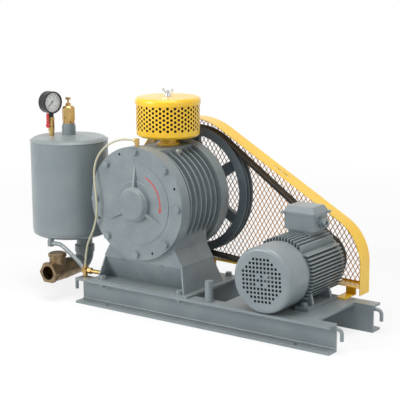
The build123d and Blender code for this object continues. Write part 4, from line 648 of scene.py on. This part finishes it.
@dataclass
class ExpandedGuard:
    """Expanded metal panel of the belt guard, cut to the band's outline.

    It stands in an X-Z plane: a big round end about the flywheel, a small one at the motor
    and straight edges between them.  Angles are in degrees.
    """

    places: Places
    wheel_r: float = 212.0
    pulley_r: float = 132.0
    floor: float = 100.0     # underside of the band's bottom strip
    rise: float = 440.0      # height that every strand spans before it is cut
    corner: float = 249.8    # where the big end meets the bottom strip
    band: float = 2.0        # thickness of the band's sheet
    rim: float = 4.0         # uncut strip round the mesh
    pitch_x: float = 14.6
    pitch_z: float = 23.0
    strand: float = 2.1
    gauge: float = 1.0
    set_back: float = 0.95   # middle of the mesh, ahead of the panel's rear face
    tilt: float = 28.0       # lean of the strands out of the sheet
    bond: tuple[float, float, float] = (1.35, 1.5, 2.6)  # its size in strands and gauges
    wheel_steps: int = 48
    pulley_steps: int = 16

    NODE: ClassVar[str] = "guard_mesh"
    MARKS: ClassVar[dict[str, str]] = {"turn": "FLOAT", "reach": "FLOAT", "bond": "BOOLEAN"}

    @property
    def wheel(self) -> Vector:
        """Centre of the big end, X and Z."""
        return self.places.pivot("pump_spin").xz

    @property
    def pulley(self) -> Vector:
        """Centre of the small end, X and Z."""
        edge = self.places.box(self.NODE)[1].x
        return Vector((edge + self.band - self.pulley_r, self.places.pivot("motor_spin").z))

    @staticmethod
    def _bow(centre: Vector, reach: float, start: float, end: float,
             steps: int) -> list[Vector]:
        """Points along an arc.

        Args:
            centre: Centre of the arc.
            reach: Its radius.
            start: Angle of the first point.
            end: Angle of the last point.
            steps: How many equal steps it has.

        Returns:
            One point more than there are steps.
        """
        turns = [math.radians(start + (end - start) * i / steps) for i in range(steps + 1)]
        return [centre + Vector((math.cos(a), math.sin(a))) * reach for a in turns]

    def outline(self, inset: float) -> list[Vector]:
        """Corners of the panel, going clockwise from the bottom of the big end.

        Args:
            inset: Distance inside the band's outer face.

        Returns:
            Corners as flat vectors, X and Z.
        """
        run = self.pulley - self.wheel
        way = math.degrees(math.atan2(run.y, run.x)
                           + math.acos((self.wheel_r - self.pulley_r) / run.length))
        small = self.pulley_r - inset
        corners = self._bow(self.wheel, self.wheel_r - inset, self.corner, way,
                            self.wheel_steps)
        corners += self._bow(self.pulley, small, way, 0.0, self.pulley_steps)
        corners.append(Vector((self.pulley.x + small, self.floor + inset)))
        return corners

    @staticmethod
    def clip(start: Vector, end: Vector, corners: list[Vector]) -> tuple[Vector, Vector] | None:
        """Cut a straight strand back to a convex outline.

        Args:
            start: One end.
            end: The other end.
            corners: The outline, going clockwise.

        Returns:
            Both ends of what lies inside, or None.
        """
        low, high = 0.0, 1.0
        along = end - start
        for one, two in zip(corners, corners[1:] + corners[:1]):
            side = two - one
            inward = Vector((side.y, -side.x))
            depth = inward.dot(start - one)
            slope = inward.dot(along)
            if abs(slope) < 1e-9:
                if depth < 0:
                    return None
            elif slope > 0:
                low = max(low, -depth / slope)
            else:
                high = min(high, -depth / slope)
        if high - low < 1e-3:
            return None
        return start + along * low, start + along * high

    def _strands(self) -> list[tuple[Vector, float, float]]:
        """Cut both families of slanting strands back to the rim.

        Returns:
            Middle, turn in radians and length of each strand.
        """
        corners = self.outline(self.band + self.rim / 2)
        run = self.rise * self.pitch_x / self.pitch_z
        first = math.floor((self.wheel.x - self.wheel_r - run) / self.pitch_x)
        last = math.ceil((self.pulley.x + self.pulley_r + run) / self.pitch_x)
        strands = []
        for lean in (1, -1):
            for foot in range(first, last):
                low = Vector((foot * self.pitch_x, self.floor))
                ends = self.clip(low, low + Vector((lean * run, self.rise)), corners)
                if ends:
                    along = ends[1] - ends[0]
                    strands.append(((ends[0] + ends[1]) / 2, -math.atan2(along.y, along.x),
                                    along.length))
        return strands

    def _bonds(self) -> list[Vector]:
        """Find where the strands cross, clear of the rim.

        Returns:
            The crossings, row by row.
        """
        corners = self.outline(self.band + self.rim + 1)
        first = math.floor((self.wheel.x - self.wheel_r) / self.pitch_x)
        last = math.ceil((self.pulley.x + self.pulley_r) / self.pitch_x)
        speck = Vector((0.01, 0.0))
        spots = [
            Vector(((column + 0.5 * (row % 2)) * self.pitch_x,
                    self.floor + row * self.pitch_z / 2))
            for row in range(math.ceil(2 * self.rise / self.pitch_z))
            for column in range(first, last)
        ]
        return [spot for spot in spots if self.clip(spot, spot + speck, corners)]

    def _layout(self) -> bpy.types.Object:
        """Mark where each strand and each bond goes.

        Returns:
            A mesh of loose points that carry the attributes in MARKS.
        """
        marks = [(spot, turn, reach * MM, False) for spot, turn, reach in self._strands()]
        marks += [(spot, 0.0, 1.0, True) for spot in self._bonds()]
        depth = self.places.box(self.NODE)[1].y - self.set_back
        host = new_object("guard_expanded_metal",
                          [(mark[0].x * MM, depth * MM, mark[0].y * MM) for mark in marks])
        for column, (label, kind) in enumerate(self.MARKS.items(), start=1):
            values = host.data.attributes.new(label, kind, "POINT").data
            values.foreach_set("value", [mark[column] for mark in marks])
        return host

    def build(self, shop: Paintshop) -> None:
        """Make the strands, the bonds between them and the plain rim.

        Args:
            shop: Where materials are made.
        """
        tree, start, keys = new_tree("expanded_metal", {
            "Strand": "NodeSocketFloat", "Gauge": "NodeSocketFloat", "Tilt": "NodeSocketFloat",
        })
        sizes = start.outputs
        turn, reach, bond = (
            add_node(tree, "GeometryNodeInputNamedAttribute", {"Name": label},
                     data_type=kind).outputs["Attribute"]
            for label, kind in self.MARKS.items()
        )
        plain = add_node(tree, "FunctionNodeBooleanMath", {0: bond}, operation="NOT").outputs[0]
        section = vector(tree, 1.0, sizes["Gauge"], sizes["Strand"])
        bar = add_node(tree, "GeometryNodeMeshCube", {"Size": section}).outputs["Mesh"]
        leant = add_node(tree, "GeometryNodeTransform", {
            "Geometry": bar, "Rotation": vector(tree, sizes["Tilt"]),
        }).outputs["Geometry"]
        strands = add_node(tree, "GeometryNodeInstanceOnPoints", {
            "Points": sizes["Geometry"], "Selection": plain, "Instance": leant,
            "Rotation": vector(tree, 0.0, turn), "Scale": vector(tree, reach, 1.0, 1.0),
        }).outputs["Instances"]
        across, deep, tall = self.bond
        knot = vector(tree, maths(tree, "MULTIPLY", sizes["Strand"], across),
                      maths(tree, "MULTIPLY", sizes["Gauge"], deep),
                      maths(tree, "MULTIPLY", sizes["Strand"], tall))
        pad = add_node(tree, "GeometryNodeMeshCube", {"Size": knot}).outputs["Mesh"]
        pads = add_node(tree, "GeometryNodeInstanceOnPoints", {
            "Points": sizes["Geometry"], "Selection": bond, "Instance": pad,
        }).outputs["Instances"]
        # Strands and bonds take the darker yellow, which is painted shade.
        close_tree(tree, join(tree, strands, pads), shop.material(YELLOW_MESH_PAINTED_SHADE))
        panel = grow(self._layout(), tree, keys, {
            "Strand": self.strand * MM, "Gauge": self.gauge * MM,
            "Tilt": math.radians(self.tilt),
        })
        fit_out(panel, "unit", YELLOW_MESH_PAINTED_SHADE, shop, (self.NODE,))
        self._rim(shop)

    def _rim(self, shop: Paintshop) -> None:
        """Make the flat uncut strip round the panel.

        Args:
            shop: Where materials are made.
        """
        low, high = self.places.box(self.NODE)
        rings = (self.outline(self.band), self.outline(self.band + self.rim))
        points = [(p.x * MM, y * MM, p.y * MM)
                  for y in (low.y, high.y) for ring in rings for p in ring]
        count = len(rings[0])
        faces: list[Sequence[int]] = []
        for i in range(count):
            j = (i + 1) % count
            a, b, c, d = (k * count for k in range(4))
            faces += [(a + i, a + j, b + j, b + i), (c + j, c + i, d + i, d + j),
                      (a + j, a + i, c + i, c + j), (b + i, b + j, d + j, d + i)]
        # The rim takes the same darker yellow, which is painted shade.
        fit_out(new_object("guard_panel_rim", points, faces), "unit", YELLOW_MESH_PAINTED_SHADE, shop)


@dataclass
class PerforatedScreen:
    """Perforated wall of the intake filter, with holes in staggered columns."""

    places: Places
    wall: float = 1.0
    columns: int = 54
    rows: int = 6
    hole_r: float = 4.1
    hole_sides: int = 16
    weld: float = 0.01       # corners of tiles closer than this are one

    NODE: ClassVar[str] = "filter_screen"

    def _tile(self, name: str, width: float, height: float, holed: bool) -> bpy.types.Object:
        """Make one flat tile of the wall, in the XY plane.

        Args:
            name: Name of the tile.
            width: Width in millimetres.
            height: Height in millimetres.
            holed: Whether it has its hole.

        Returns:
            The tile, not part of the finished model.
        """
        across, up = width / 2, height / 2
        count = self.hole_sides
        turns = [2 * math.pi * (i + 0.5) / count for i in range(count)]
        edge = []
        for turn in turns:
            x, y = math.cos(turn), math.sin(turn)
            reach = min(across / abs(x), up / abs(y))
            edge.append((x * reach, y * reach))
        for corner in ((across, up), (-across, up), (-across, -up), (across, -up)):
            nearest = min(range(count), key=lambda k: math.dist(edge[k], corner))
            edge[nearest] = corner
        hole = [(self.hole_r * math.cos(turn), self.hole_r * math.sin(turn)) for turn in turns]
        rings = (edge, hole) if holed else (edge,)
        points = [(x * MM, y * MM, z * MM)
                  for z in (0.0, -self.wall) for ring in rings for x, y in ring]
        faces: list[Sequence[int]] = []
        if not holed:
            faces = [range(count), range(2 * count - 1, count - 1, -1)]
            return new_object(name, points, faces)
        for i in range(count):
            j = (i + 1) % count
            a, b, c, d = (k * count for k in range(4))
            faces += [(a + i, a + j, b + j, b + i), (c + j, c + i, d + i, d + j),
                      (b + i, b + j, d + j, d + i)]
        return new_object(name, points, faces)

    @staticmethod
    def _spread(tree: bpy.types.NodeTree, sizes: Any, tile: str, rows: Any, tall: Any,
                shift: float) -> bpy.types.NodeSocket:
        """Place a tile on every second column of the flat wall.

        Args:
            tree: The screen's tree.
            sizes: The tree's named inputs.
            tile: Name of the input that holds the tile.
            rows: How many tiles stand over each other.
            tall: Tile heights from the lowest tile's middle to the highest's.
            shift: Sideways shift of the set, in tile widths.

        Returns:
            The placed copies.
        """
        pairs = maths(tree, "DIVIDE", sizes["Columns"], 2.0)
        wide = maths(tree, "MULTIPLY", maths(tree, "SUBTRACT", pairs, 1.0),
                     maths(tree, "MULTIPLY", sizes["Tile Width"], 2.0))
        grid = add_node(tree, "GeometryNodeMeshGrid", {
            "Size X": wide, "Size Y": maths(tree, "MULTIPLY", tall, sizes["Tile Height"]),
            "Vertices X": pairs, "Vertices Y": rows,
        })
        moved = add_node(tree, "GeometryNodeTransform", {
            "Geometry": grid.outputs["Mesh"],
            "Translation": vector(tree, maths(tree, "MULTIPLY", sizes["Tile Width"], shift)),
        })
        shape = add_node(tree, "GeometryNodeObjectInfo", {"Object": sizes[tile]})
        return add_node(tree, "GeometryNodeInstanceOnPoints", {
            "Points": moved.outputs["Geometry"], "Instance": shape.outputs["Geometry"],
        }).outputs["Instances"]

    def build(self, shop: Paintshop) -> None:
        """Lay the tiles out flat, then bend them round the filter.

        Args:
            shop: Where materials are made.
        """
        low, high = self.places.box(self.NODE)
        radius = (high.x - low.x) / 2
        width = 2 * math.pi * radius / self.columns
        height = (high.z - low.z) / self.rows
        holed = self._tile("screen_tile", width, height, True)
        blank = self._tile("screen_edge_tile", width, height / 2, False)
        tree, start, keys = new_tree("perforated_wall", {
            "Tile": "NodeSocketObject", "Edge Tile": "NodeSocketObject",
            "Columns": "NodeSocketInt", "Rows": "NodeSocketInt",
            "Tile Width": "NodeSocketFloat", "Tile Height": "NodeSocketFloat",
            "Radius": "NodeSocketFloat",
        })
        sizes = start.outputs
        full = sizes["Rows"]
        fewer = maths(tree, "SUBTRACT", full, 1.0)
        columns = self._spread(tree, sizes, "Tile", full, fewer, -0.5)
        staggered = self._spread(tree, sizes, "Tile", fewer, maths(
            tree, "SUBTRACT", full, 2.0), 0.5)
        edges = self._spread(tree, sizes, "Edge Tile", 2, maths(
            tree, "SUBTRACT", full, 0.5), 0.5)
        real = add_node(tree, "GeometryNodeRealizeInstances", {
            "Geometry": join(tree, columns, staggered, edges),
        })
        here = add_node(tree, "GeometryNodeInputPosition").outputs[0]
        flat = add_node(tree, "ShaderNodeSeparateXYZ", {0: here}).outputs
        angle = maths(tree, "DIVIDE", flat["X"], sizes["Radius"])
        reach = maths(tree, "ADD", sizes["Radius"], flat["Z"])
        ahead = maths(tree, "MULTIPLY", maths(tree, "COSINE", angle), -1.0)
        bent = vector(tree, maths(tree, "MULTIPLY", reach, maths(tree, "SINE", angle)),
                      maths(tree, "MULTIPLY", reach, ahead), flat["Y"])
        wall = add_node(tree, "GeometryNodeSetPosition", {
            "Geometry": real.outputs["Geometry"], "Position": bent,
        })
        merged = add_node(tree, "GeometryNodeMergeByDistance", {
            "Geometry": wall.outputs["Geometry"], "Distance": self.weld * MM,
        })
        close_tree(tree, merged.outputs["Geometry"], shop.material(YELLOW))
        host = new_object("filter_perforated_screen", [(0, 0, 0)])
        screen = grow(host, tree, keys, {
            "Tile": holed, "Edge Tile": blank, "Columns": self.columns, "Rows": self.rows,
            "Tile Width": width * MM, "Tile Height": height * MM, "Radius": radius * MM,
        })
        for spare in (holed, blank):
            bpy.data.objects.remove(spare)
        screen.data.transform(Matrix.Translation((low + high) / 2 * MM))
        fit_out(screen, "unit", YELLOW, shop, (self.NODE,))


@dataclass
class FeltSleeve:
    """Felt wrap that lines the perforated wall of the intake filter, black as painted shade
    behind the holes.
    """

    places: Places
    gap: float = 2.5         # outer face of the felt, inside the wall's outer face
    thickness: float = 2.5
    short: float = 1.0       # how much it falls short of the wall at each end
    sides: int = 72
    waves: tuple[tuple[float, int], ...] = ((0.4, 9), (0.3, 23))  # height and count

    def build(self, shop: Paintshop) -> None:
        """Make the sleeve as a closed ring with slightly wavy faces.

        Args:
            shop: Where materials are made.
        """
        low, high = self.places.box(PerforatedScreen.NODE)
        centre = (low + high) / 2
        outer = (high.x - low.x) / 2 - self.gap
        inner = outer - self.thickness
        bottom, top = low.z + self.short, high.z - self.short
        section = [(outer, bottom), (outer, top), (inner, top), (inner, bottom)]
        points, faces = [], []
        for i in range(self.sides):
            turn = 2 * math.pi * i / self.sides
            sway = sum(size * math.sin(count * turn) for size, count in self.waves)
            points += [((centre.x + (reach + sway) * math.cos(turn)) * MM,
                        (centre.y + (reach + sway) * math.sin(turn)) * MM, z * MM)
                       for reach, z in section]
            j = (i + 1) % self.sides
            faces += [(4 * i + k, 4 * j + k, 4 * j + (k + 1) % 4, 4 * i + (k + 1) % 4)
                      for k in range(4)]
        # The sleeve's black is painted shade, seen through the holes.
        fit_out(new_object("filter_felt_sleeve", points, faces), "unit", FELT_PAINTED_SHADE, shop)


@dataclass
class OilFittings:
    """Oil line fittings: those on the tank are painted, the others are bare brass."""

    places: Places
    painted_left_of: float = -500.0
    weld: float = 0.001      # corners closer than this are one
    crease: float = 30.0     # faces that meet at more than this angle keep a sharp edge

    NODE: ClassVar[str] = "oil_fittings"

    def build(self, shop: Paintshop) -> None:
        """Copy the fittings, close their faces up and paint the ones on the tank.

        Args:
            shop: Where materials are made.
        """
        source = self.places.nodes[self.NODE].data
        work = bmesh.new()
        work.from_mesh(source)
        bmesh.ops.remove_doubles(work, verts=work.verts, dist=self.weld * MM)
        corners = [corner.co.copy() for corner in work.verts]
        faces = [[corner.index for corner in face.verts] for face in work.faces]
        work.free()
        piece = new_object("oil_line_fittings", corners, faces)
        piece.data.shade_smooth()
        piece.data.set_sharp_from_angle(angle=math.radians(self.crease))
        fit_out(piece, "unit", BRASS_TURNED, shop, (self.NODE,))
        piece.data.materials.append(shop.material(GREY_SHEET))
        for face in piece.data.polygons:
            face.material_index = int(face.center.x < self.painted_left_of * MM)


@dataclass
class RotationArrow:
    """Plain arrow on the front cover that shows which way the pump turns."""

    places: Places
    radius: float = 86.0
    start: float = 66.0      # angles in degrees, from +X towards +Z
    end: float = -5.0
    width: float = 3.6
    head: float = 10.0       # width of the point
    slim: float = 0.55       # width of the tail's end, as a share of the width
    swell: float = 6.0       # the tail widens over one part in so many of the length
    steps: int = 40
    proud: float = 0.25
    sunk: float = 0.1
    face: float = 16.5       # raised panel, ahead of the cover's rear face

    POINT: ClassVar[float] = 1.15  # length of the point over its width

    def build(self, shop: Paintshop) -> None:
        """Make the arrow as a thin raised band with a pointed end.

        Args:
            shop: Where materials are made.
        """
        centre = self.places.pivot("pump_spin").xz
        front = self.places.box("front_cover")[1].y - self.face
        sides = []
        for i in range(self.steps + 1):
            share = i / self.steps
            half = self.width / 2 * (self.slim + (1 - self.slim) * min(1.0, share * self.swell))
            sides.append((self.start + (self.end - self.start) * share, half))
        tip = self.end - math.degrees(self.POINT * self.head / self.radius)
        ring = [(angle, self.radius + half) for angle, half in sides]
        ring += [(self.end, self.radius + self.head / 2),
                 (tip, self.radius),
                 (self.end, self.radius - self.head / 2)]
        ring += [(angle, self.radius - half) for angle, half in reversed(sides)]
        outline = [(centre.x + reach * math.cos(math.radians(angle)),
                    centre.y + reach * math.sin(math.radians(angle))) for angle, reach in ring]
        points = [(x * MM, y * MM, z * MM)
                  for y in (front - self.proud, front + self.sunk) for x, z in outline]
        count = len(outline)
        faces: list[Sequence[int]] = [
            (i, i + 1, count - 2 - i, count - 1 - i) for i in range(self.steps)
        ]
        faces.append((self.steps + 1, self.steps + 2, self.steps + 3))
        faces += [(i, i + count, (i + 1) % count + count, (i + 1) % count) for i in range(count)]
        fit_out(new_object("rotation_arrow", points, faces), "unit", SIGN_RED, shop)


@dataclass
class GaugeFace:
    """Marks on the dial of the pressure gauge."""

    places: Places
    rest: float = 222.0      # angle of the first tick, degrees
    majors: int = 10
    minors: int = 5
    tick_outer: float = 25.5
    tick: tuple[float, float, float] = (3.0, 0.3, 0.1)  # length, width and height
    short: tuple[float, float] = (0.6, 0.7)  # length and width of a small tick, as shares
    longer: tuple[float, float] = (0.9, 0.6)  # what a main tick adds to them
    lift: float = 0.12       # marks' middle above the dial
    figure: float = 4.0      # height of a number
    figure_inset: float = 8.5
    figure_relief: float = 0.04

    @property
    def travel(self) -> float:
        """Angle from the first tick to the last, in degrees."""
        return self.places.joints["needle_turn"]["range_deg"][1]

    def build(self, shop: Paintshop) -> None:
        """Print the scale and its numbers on the dial.

        Args:
            shop: Where materials are made.
        """
        joint = self.places.joints["needle_turn"]
        out = -Vector(joint["axis"])
        right = Vector((-out.y, out.x, 0.0))
        pivot = Vector(joint["pos_m"])
        dial = self.places.nodes["gauge_dial"].data
        depth = max((corner.co - pivot).dot(out) for corner in dial.vertices)
        origin = pivot + out * (depth + self.lift * MM)
        place = Matrix((
            (right.x, 0.0, out.x, origin.x), (right.y, 0.0, out.y, origin.y),
            (right.z, 1.0, out.z, origin.z), (0.0, 0.0, 0.0, 1.0),
        ))
        self._ticks(place, shop)
        for number in range(0, self.majors + 1, 2):
            self._number(number, place, shop)

    def _ticks(self, place: Matrix, shop: Paintshop) -> None:
        """Repeat one tick round the scale, with a longer one at each number.

        Args:
            place: Where the dial is and which way it faces.
            shop: Where materials are made.
        """
        host = new_object("gauge_scale", [(0, 0, 0)])
        tree, start, keys = new_tree("dial_scale", {
            "Ticks": "NodeSocketInt", "Every": "NodeSocketInt", "Radius": "NodeSocketFloat",
            "First Angle": "NodeSocketFloat", "Travel": "NodeSocketFloat",
        })
        out = start.outputs
        line = add_node(tree, "GeometryNodeMeshLine", {"Count": out["Ticks"]})
        index = add_node(tree, "GeometryNodeInputIndex").outputs[0]
        share = maths(tree, "DIVIDE", index, maths(tree, "SUBTRACT", out["Ticks"], 1.0))
        angle = maths(tree, "SUBTRACT", out["First Angle"],
                      maths(tree, "MULTIPLY", share, out["Travel"]))
        spot = vector(tree, maths(tree, "MULTIPLY", out["Radius"], maths(tree, "COSINE", angle)),
                      maths(tree, "MULTIPLY", out["Radius"], maths(tree, "SINE", angle)))
        ring = add_node(tree, "GeometryNodeSetPosition", {
            "Geometry": line.outputs["Mesh"], "Position": spot,
        })
        tick = add_node(tree, "GeometryNodeMeshCube", {"Size": Vector(self.tick) * MM})
        inward = add_node(tree, "GeometryNodeTransform", {
            "Geometry": tick.outputs["Mesh"], "Translation": (-self.tick[0] / 2 * MM, 0.0, 0.0),
        })
        main_tick = maths(tree, "LESS_THAN", maths(tree, "MODULO", index, out["Every"]), 0.5)
        long, wide = (
            maths(tree, "ADD", share, maths(tree, "MULTIPLY", main_tick, more))
            for share, more in zip(self.short, self.longer)
        )
        copies = add_node(tree, "GeometryNodeInstanceOnPoints", {
            "Points": ring.outputs["Geometry"], "Instance": inward.outputs["Geometry"],
            "Rotation": vector(tree, 0.0, 0.0, angle), "Scale": vector(tree, long, wide, 1.0),
        })
        close_tree(tree, copies.outputs["Instances"], shop.material(BLACK))
        scale = grow(host, tree, keys, {
            "Ticks": self.majors * self.minors + 1, "Every": self.minors,
            "Radius": self.tick_outer * MM, "First Angle": math.radians(self.rest),
            "Travel": math.radians(self.travel),
        })
        scale.data.transform(place)
        fit_out(scale, "unit", BLACK, shop)

    def _number(self, number: int, place: Matrix, shop: Paintshop) -> None:
        """Print one number inside the scale.

        Args:
            number: Which main tick it belongs to.
            place: Where the dial is and which way it faces.
            shop: Where materials are made.
        """
        name = f"gauge_number_{number}"
        text = bpy.data.curves.new(name, "FONT")
        text.body = str(number)
        text.size = self.figure * MM
        text.extrude = self.figure_relief * MM
        text.align_x, text.align_y = "CENTER", "CENTER"
        text.resolution_u = 3
        drawn = bpy.data.objects.new(name, text)
        bpy.context.scene.collection.objects.link(drawn)
        sign = settle(drawn)
        angle = math.radians(self.rest - self.travel * number / self.majors)
        reach = (self.tick_outer - self.figure_inset) * MM
        sign.data.transform(place @ Matrix.Translation(
            (reach * math.cos(angle), reach * math.sin(angle), 0.0)))
        fit_out(sign, "unit", BLACK, shop)


# ------------------------------------------------------------------ studio
@dataclass
class Lamp:
    """One soft lamp that looks at the middle of the machine."""

    name: str
    place: tuple[float, float, float]
    size: float
    watts: float

    def hang(self, target: Vector) -> None:
        """Put the lamp up.

        Args:
            target: The point that it faces.
        """
        light = bpy.data.lights.new(self.name, "AREA")
        light.shape = "DISK"
        light.size = self.size
        light.energy = self.watts
        lamp = bpy.data.objects.new(self.name, light)
        lamp.location = self.place
        lamp.rotation_euler = (target - Vector(self.place)).to_track_quat("-Z", "Y").to_euler()
        bpy.context.scene.collection.objects.link(lamp)


@dataclass
class Studio:
    """Pale floor, soft lamps, white surroundings and the camera, in metres and degrees."""

    eye: tuple[float, float, float] = (1.9035, -2.7223, 0.9988)
    azimuth: float = 35.98
    pitch: float = 11.39
    roll: float = -0.365
    focal: float = 111.08
    sensor: float = 36.0
    ambient: float = 0.42    # strength of the surroundings as a light
    floor_reach: float = 60.0
    floor_gap: float = 0.0005
    glow: tuple[float, float] = (0.74, 1.0)   # floor's white, near the machine and far off
    fade: tuple[float, float] = (0.9, 2.6)    # where that change starts and ends
    lamps: tuple[Lamp, ...] = (
        Lamp("overhead_box", (0.2, -0.6, 3.2), 2.4, 60.0),
        Lamp("front_left_box", (-2.2, -3.4, 1.9), 1.8, 88.0),
        Lamp("right_box", (3.2, -0.6, 1.5), 1.6, 15.0),
    )

    def build(self) -> None:
        """Set the whole studio up."""
        low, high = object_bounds()
        target = (Vector(low) + Vector(high)) / 2
        for lamp in self.lamps:
            lamp.hang(target)
        self._floor()
        self._surroundings()
        self._camera()
        bpy.context.scene.view_settings.view_transform = "Standard"

    @staticmethod
    def _seen_rays(tree: bpy.types.NodeTree) -> bpy.types.NodeSocket:
        """Tell the rays that see the backdrop from those that only light.

        Args:
            tree: A world or material tree.

        Returns:
            1 for camera, glossy and transmission rays.
        """
        path = add_node(tree, "ShaderNodeLightPath").outputs
        mirror = maths(tree, "MAXIMUM", path["Is Glossy Ray"], path["Is Transmission Ray"])
        return maths(tree, "MAXIMUM", path["Is Camera Ray"], mirror)

    def _surroundings(self) -> None:
        """Make the world white to the eye and plain as a light."""
        world = bpy.data.worlds.new("studio_white")
        world.use_nodes = True
        tree = world.node_tree
        tree.nodes.clear()
        seen = self._seen_rays(tree)
        level = maths(tree, "ADD", self.ambient, maths(tree, "MULTIPLY", seen,
                                                       1.0 - self.ambient))
        glow = add_node(tree, "ShaderNodeBackground", {
            "Color": (1.0, 1.0, 1.0, 1.0), "Strength": level,
        })
        add_node(tree, "ShaderNodeOutputWorld", {"Surface": glow.outputs[0]})
        bpy.context.scene.world = world

    def _floor(self) -> None:
        """Lay a pale floor that keeps the machine's shadow."""
        reach = self.floor_reach
        square = ((-reach, -reach), (reach, -reach), (reach, reach), (-reach, reach))
        floor = new_object("studio_floor", [(x, y, -self.floor_gap) for x, y in square],
                           [(0, 1, 2, 3)])
        material = bpy.data.materials.new("studio_floor")
        material.use_nodes = True
        tree = material.node_tree
        tree.nodes.clear()
        place = add_node(tree, "ShaderNodeTexCoord").outputs["Object"]
        fibre = add_node(tree, "ShaderNodeTexNoise", {"Vector": place, "Scale": 3.0}).outputs[0]
        pale = add_node(tree, "ShaderNodeMix", {
            0: fibre, 6: linear("#FAFAFA"), 7: linear("#F6F7F7")}, data_type="RGBA").outputs[2]
        matt = add_node(tree, "ShaderNodeBsdfDiffuse", {"Color": pale})
        glow = add_node(tree, "ShaderNodeEmission", {
            "Color": (1.0, 1.0, 1.0, 1.0), "Strength": 1.0})
        away = add_node(tree, "ShaderNodeVectorMath", {0: place}, operation="LENGTH").outputs[1]
        fade = add_node(tree, "ShaderNodeMapRange", {
            "Value": away, "From Min": self.fade[0], "From Max": self.fade[1],
            "To Min": self.glow[0], "To Max": self.glow[1],
        }).outputs["Result"]
        share = maths(tree, "MULTIPLY", self._seen_rays(tree), fade)
        both = add_node(tree, "ShaderNodeMixShader", {
            0: share, 1: matt.outputs[0], 2: glow.outputs[0]})
        add_node(tree, "ShaderNodeOutputMaterial", {"Surface": both.outputs[0]})
        floor.data.materials.append(material)
        floor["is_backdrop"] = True

    def _camera(self) -> None:
        """Place the camera and make it the scene's own."""
        turn, down, lean = (math.radians(a) for a in (self.azimuth, self.pitch, self.roll))
        forward = Vector((-math.sin(turn) * math.cos(down), math.cos(turn) * math.cos(down),
                          -math.sin(down)))
        right = Vector((math.cos(turn), math.sin(turn), 0.0))
        up = right.cross(forward)
        across = right * math.cos(lean) + up * math.sin(lean)
        rise = up * math.cos(lean) - right * math.sin(lean)
        lens = bpy.data.cameras.new("studio_camera")
        lens.sensor_width = self.sensor
        lens.lens = self.focal
        lens.clip_end = 200.0
        camera = bpy.data.objects.new("studio_camera", lens)
        camera.matrix_world = Matrix((
            (across.x, rise.x, -forward.x, self.eye[0]),
            (across.y, rise.y, -forward.y, self.eye[1]),
            (across.z, rise.z, -forward.z, self.eye[2]), (0.0, 0.0, 0.0, 1.0),
        ))
        bpy.context.scene.collection.objects.link(camera)
        bpy.context.scene.camera = camera


def main() -> None:
    """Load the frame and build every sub-assembly on it."""
    logging.basicConfig(level=logging.INFO, format="%(name)s %(message)s")
    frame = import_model()
    places = Places(frame)
    shop = Paintshop()
    SolidFinishes().dress(places.nodes, shop)
    for piece in (ExpandedGuard, PerforatedScreen, FeltSleeve, OilFittings, RotationArrow,
                  GaugeFace):
        piece(places).build(shop)
    Studio().build()


if __name__ == "__main__":
    main()
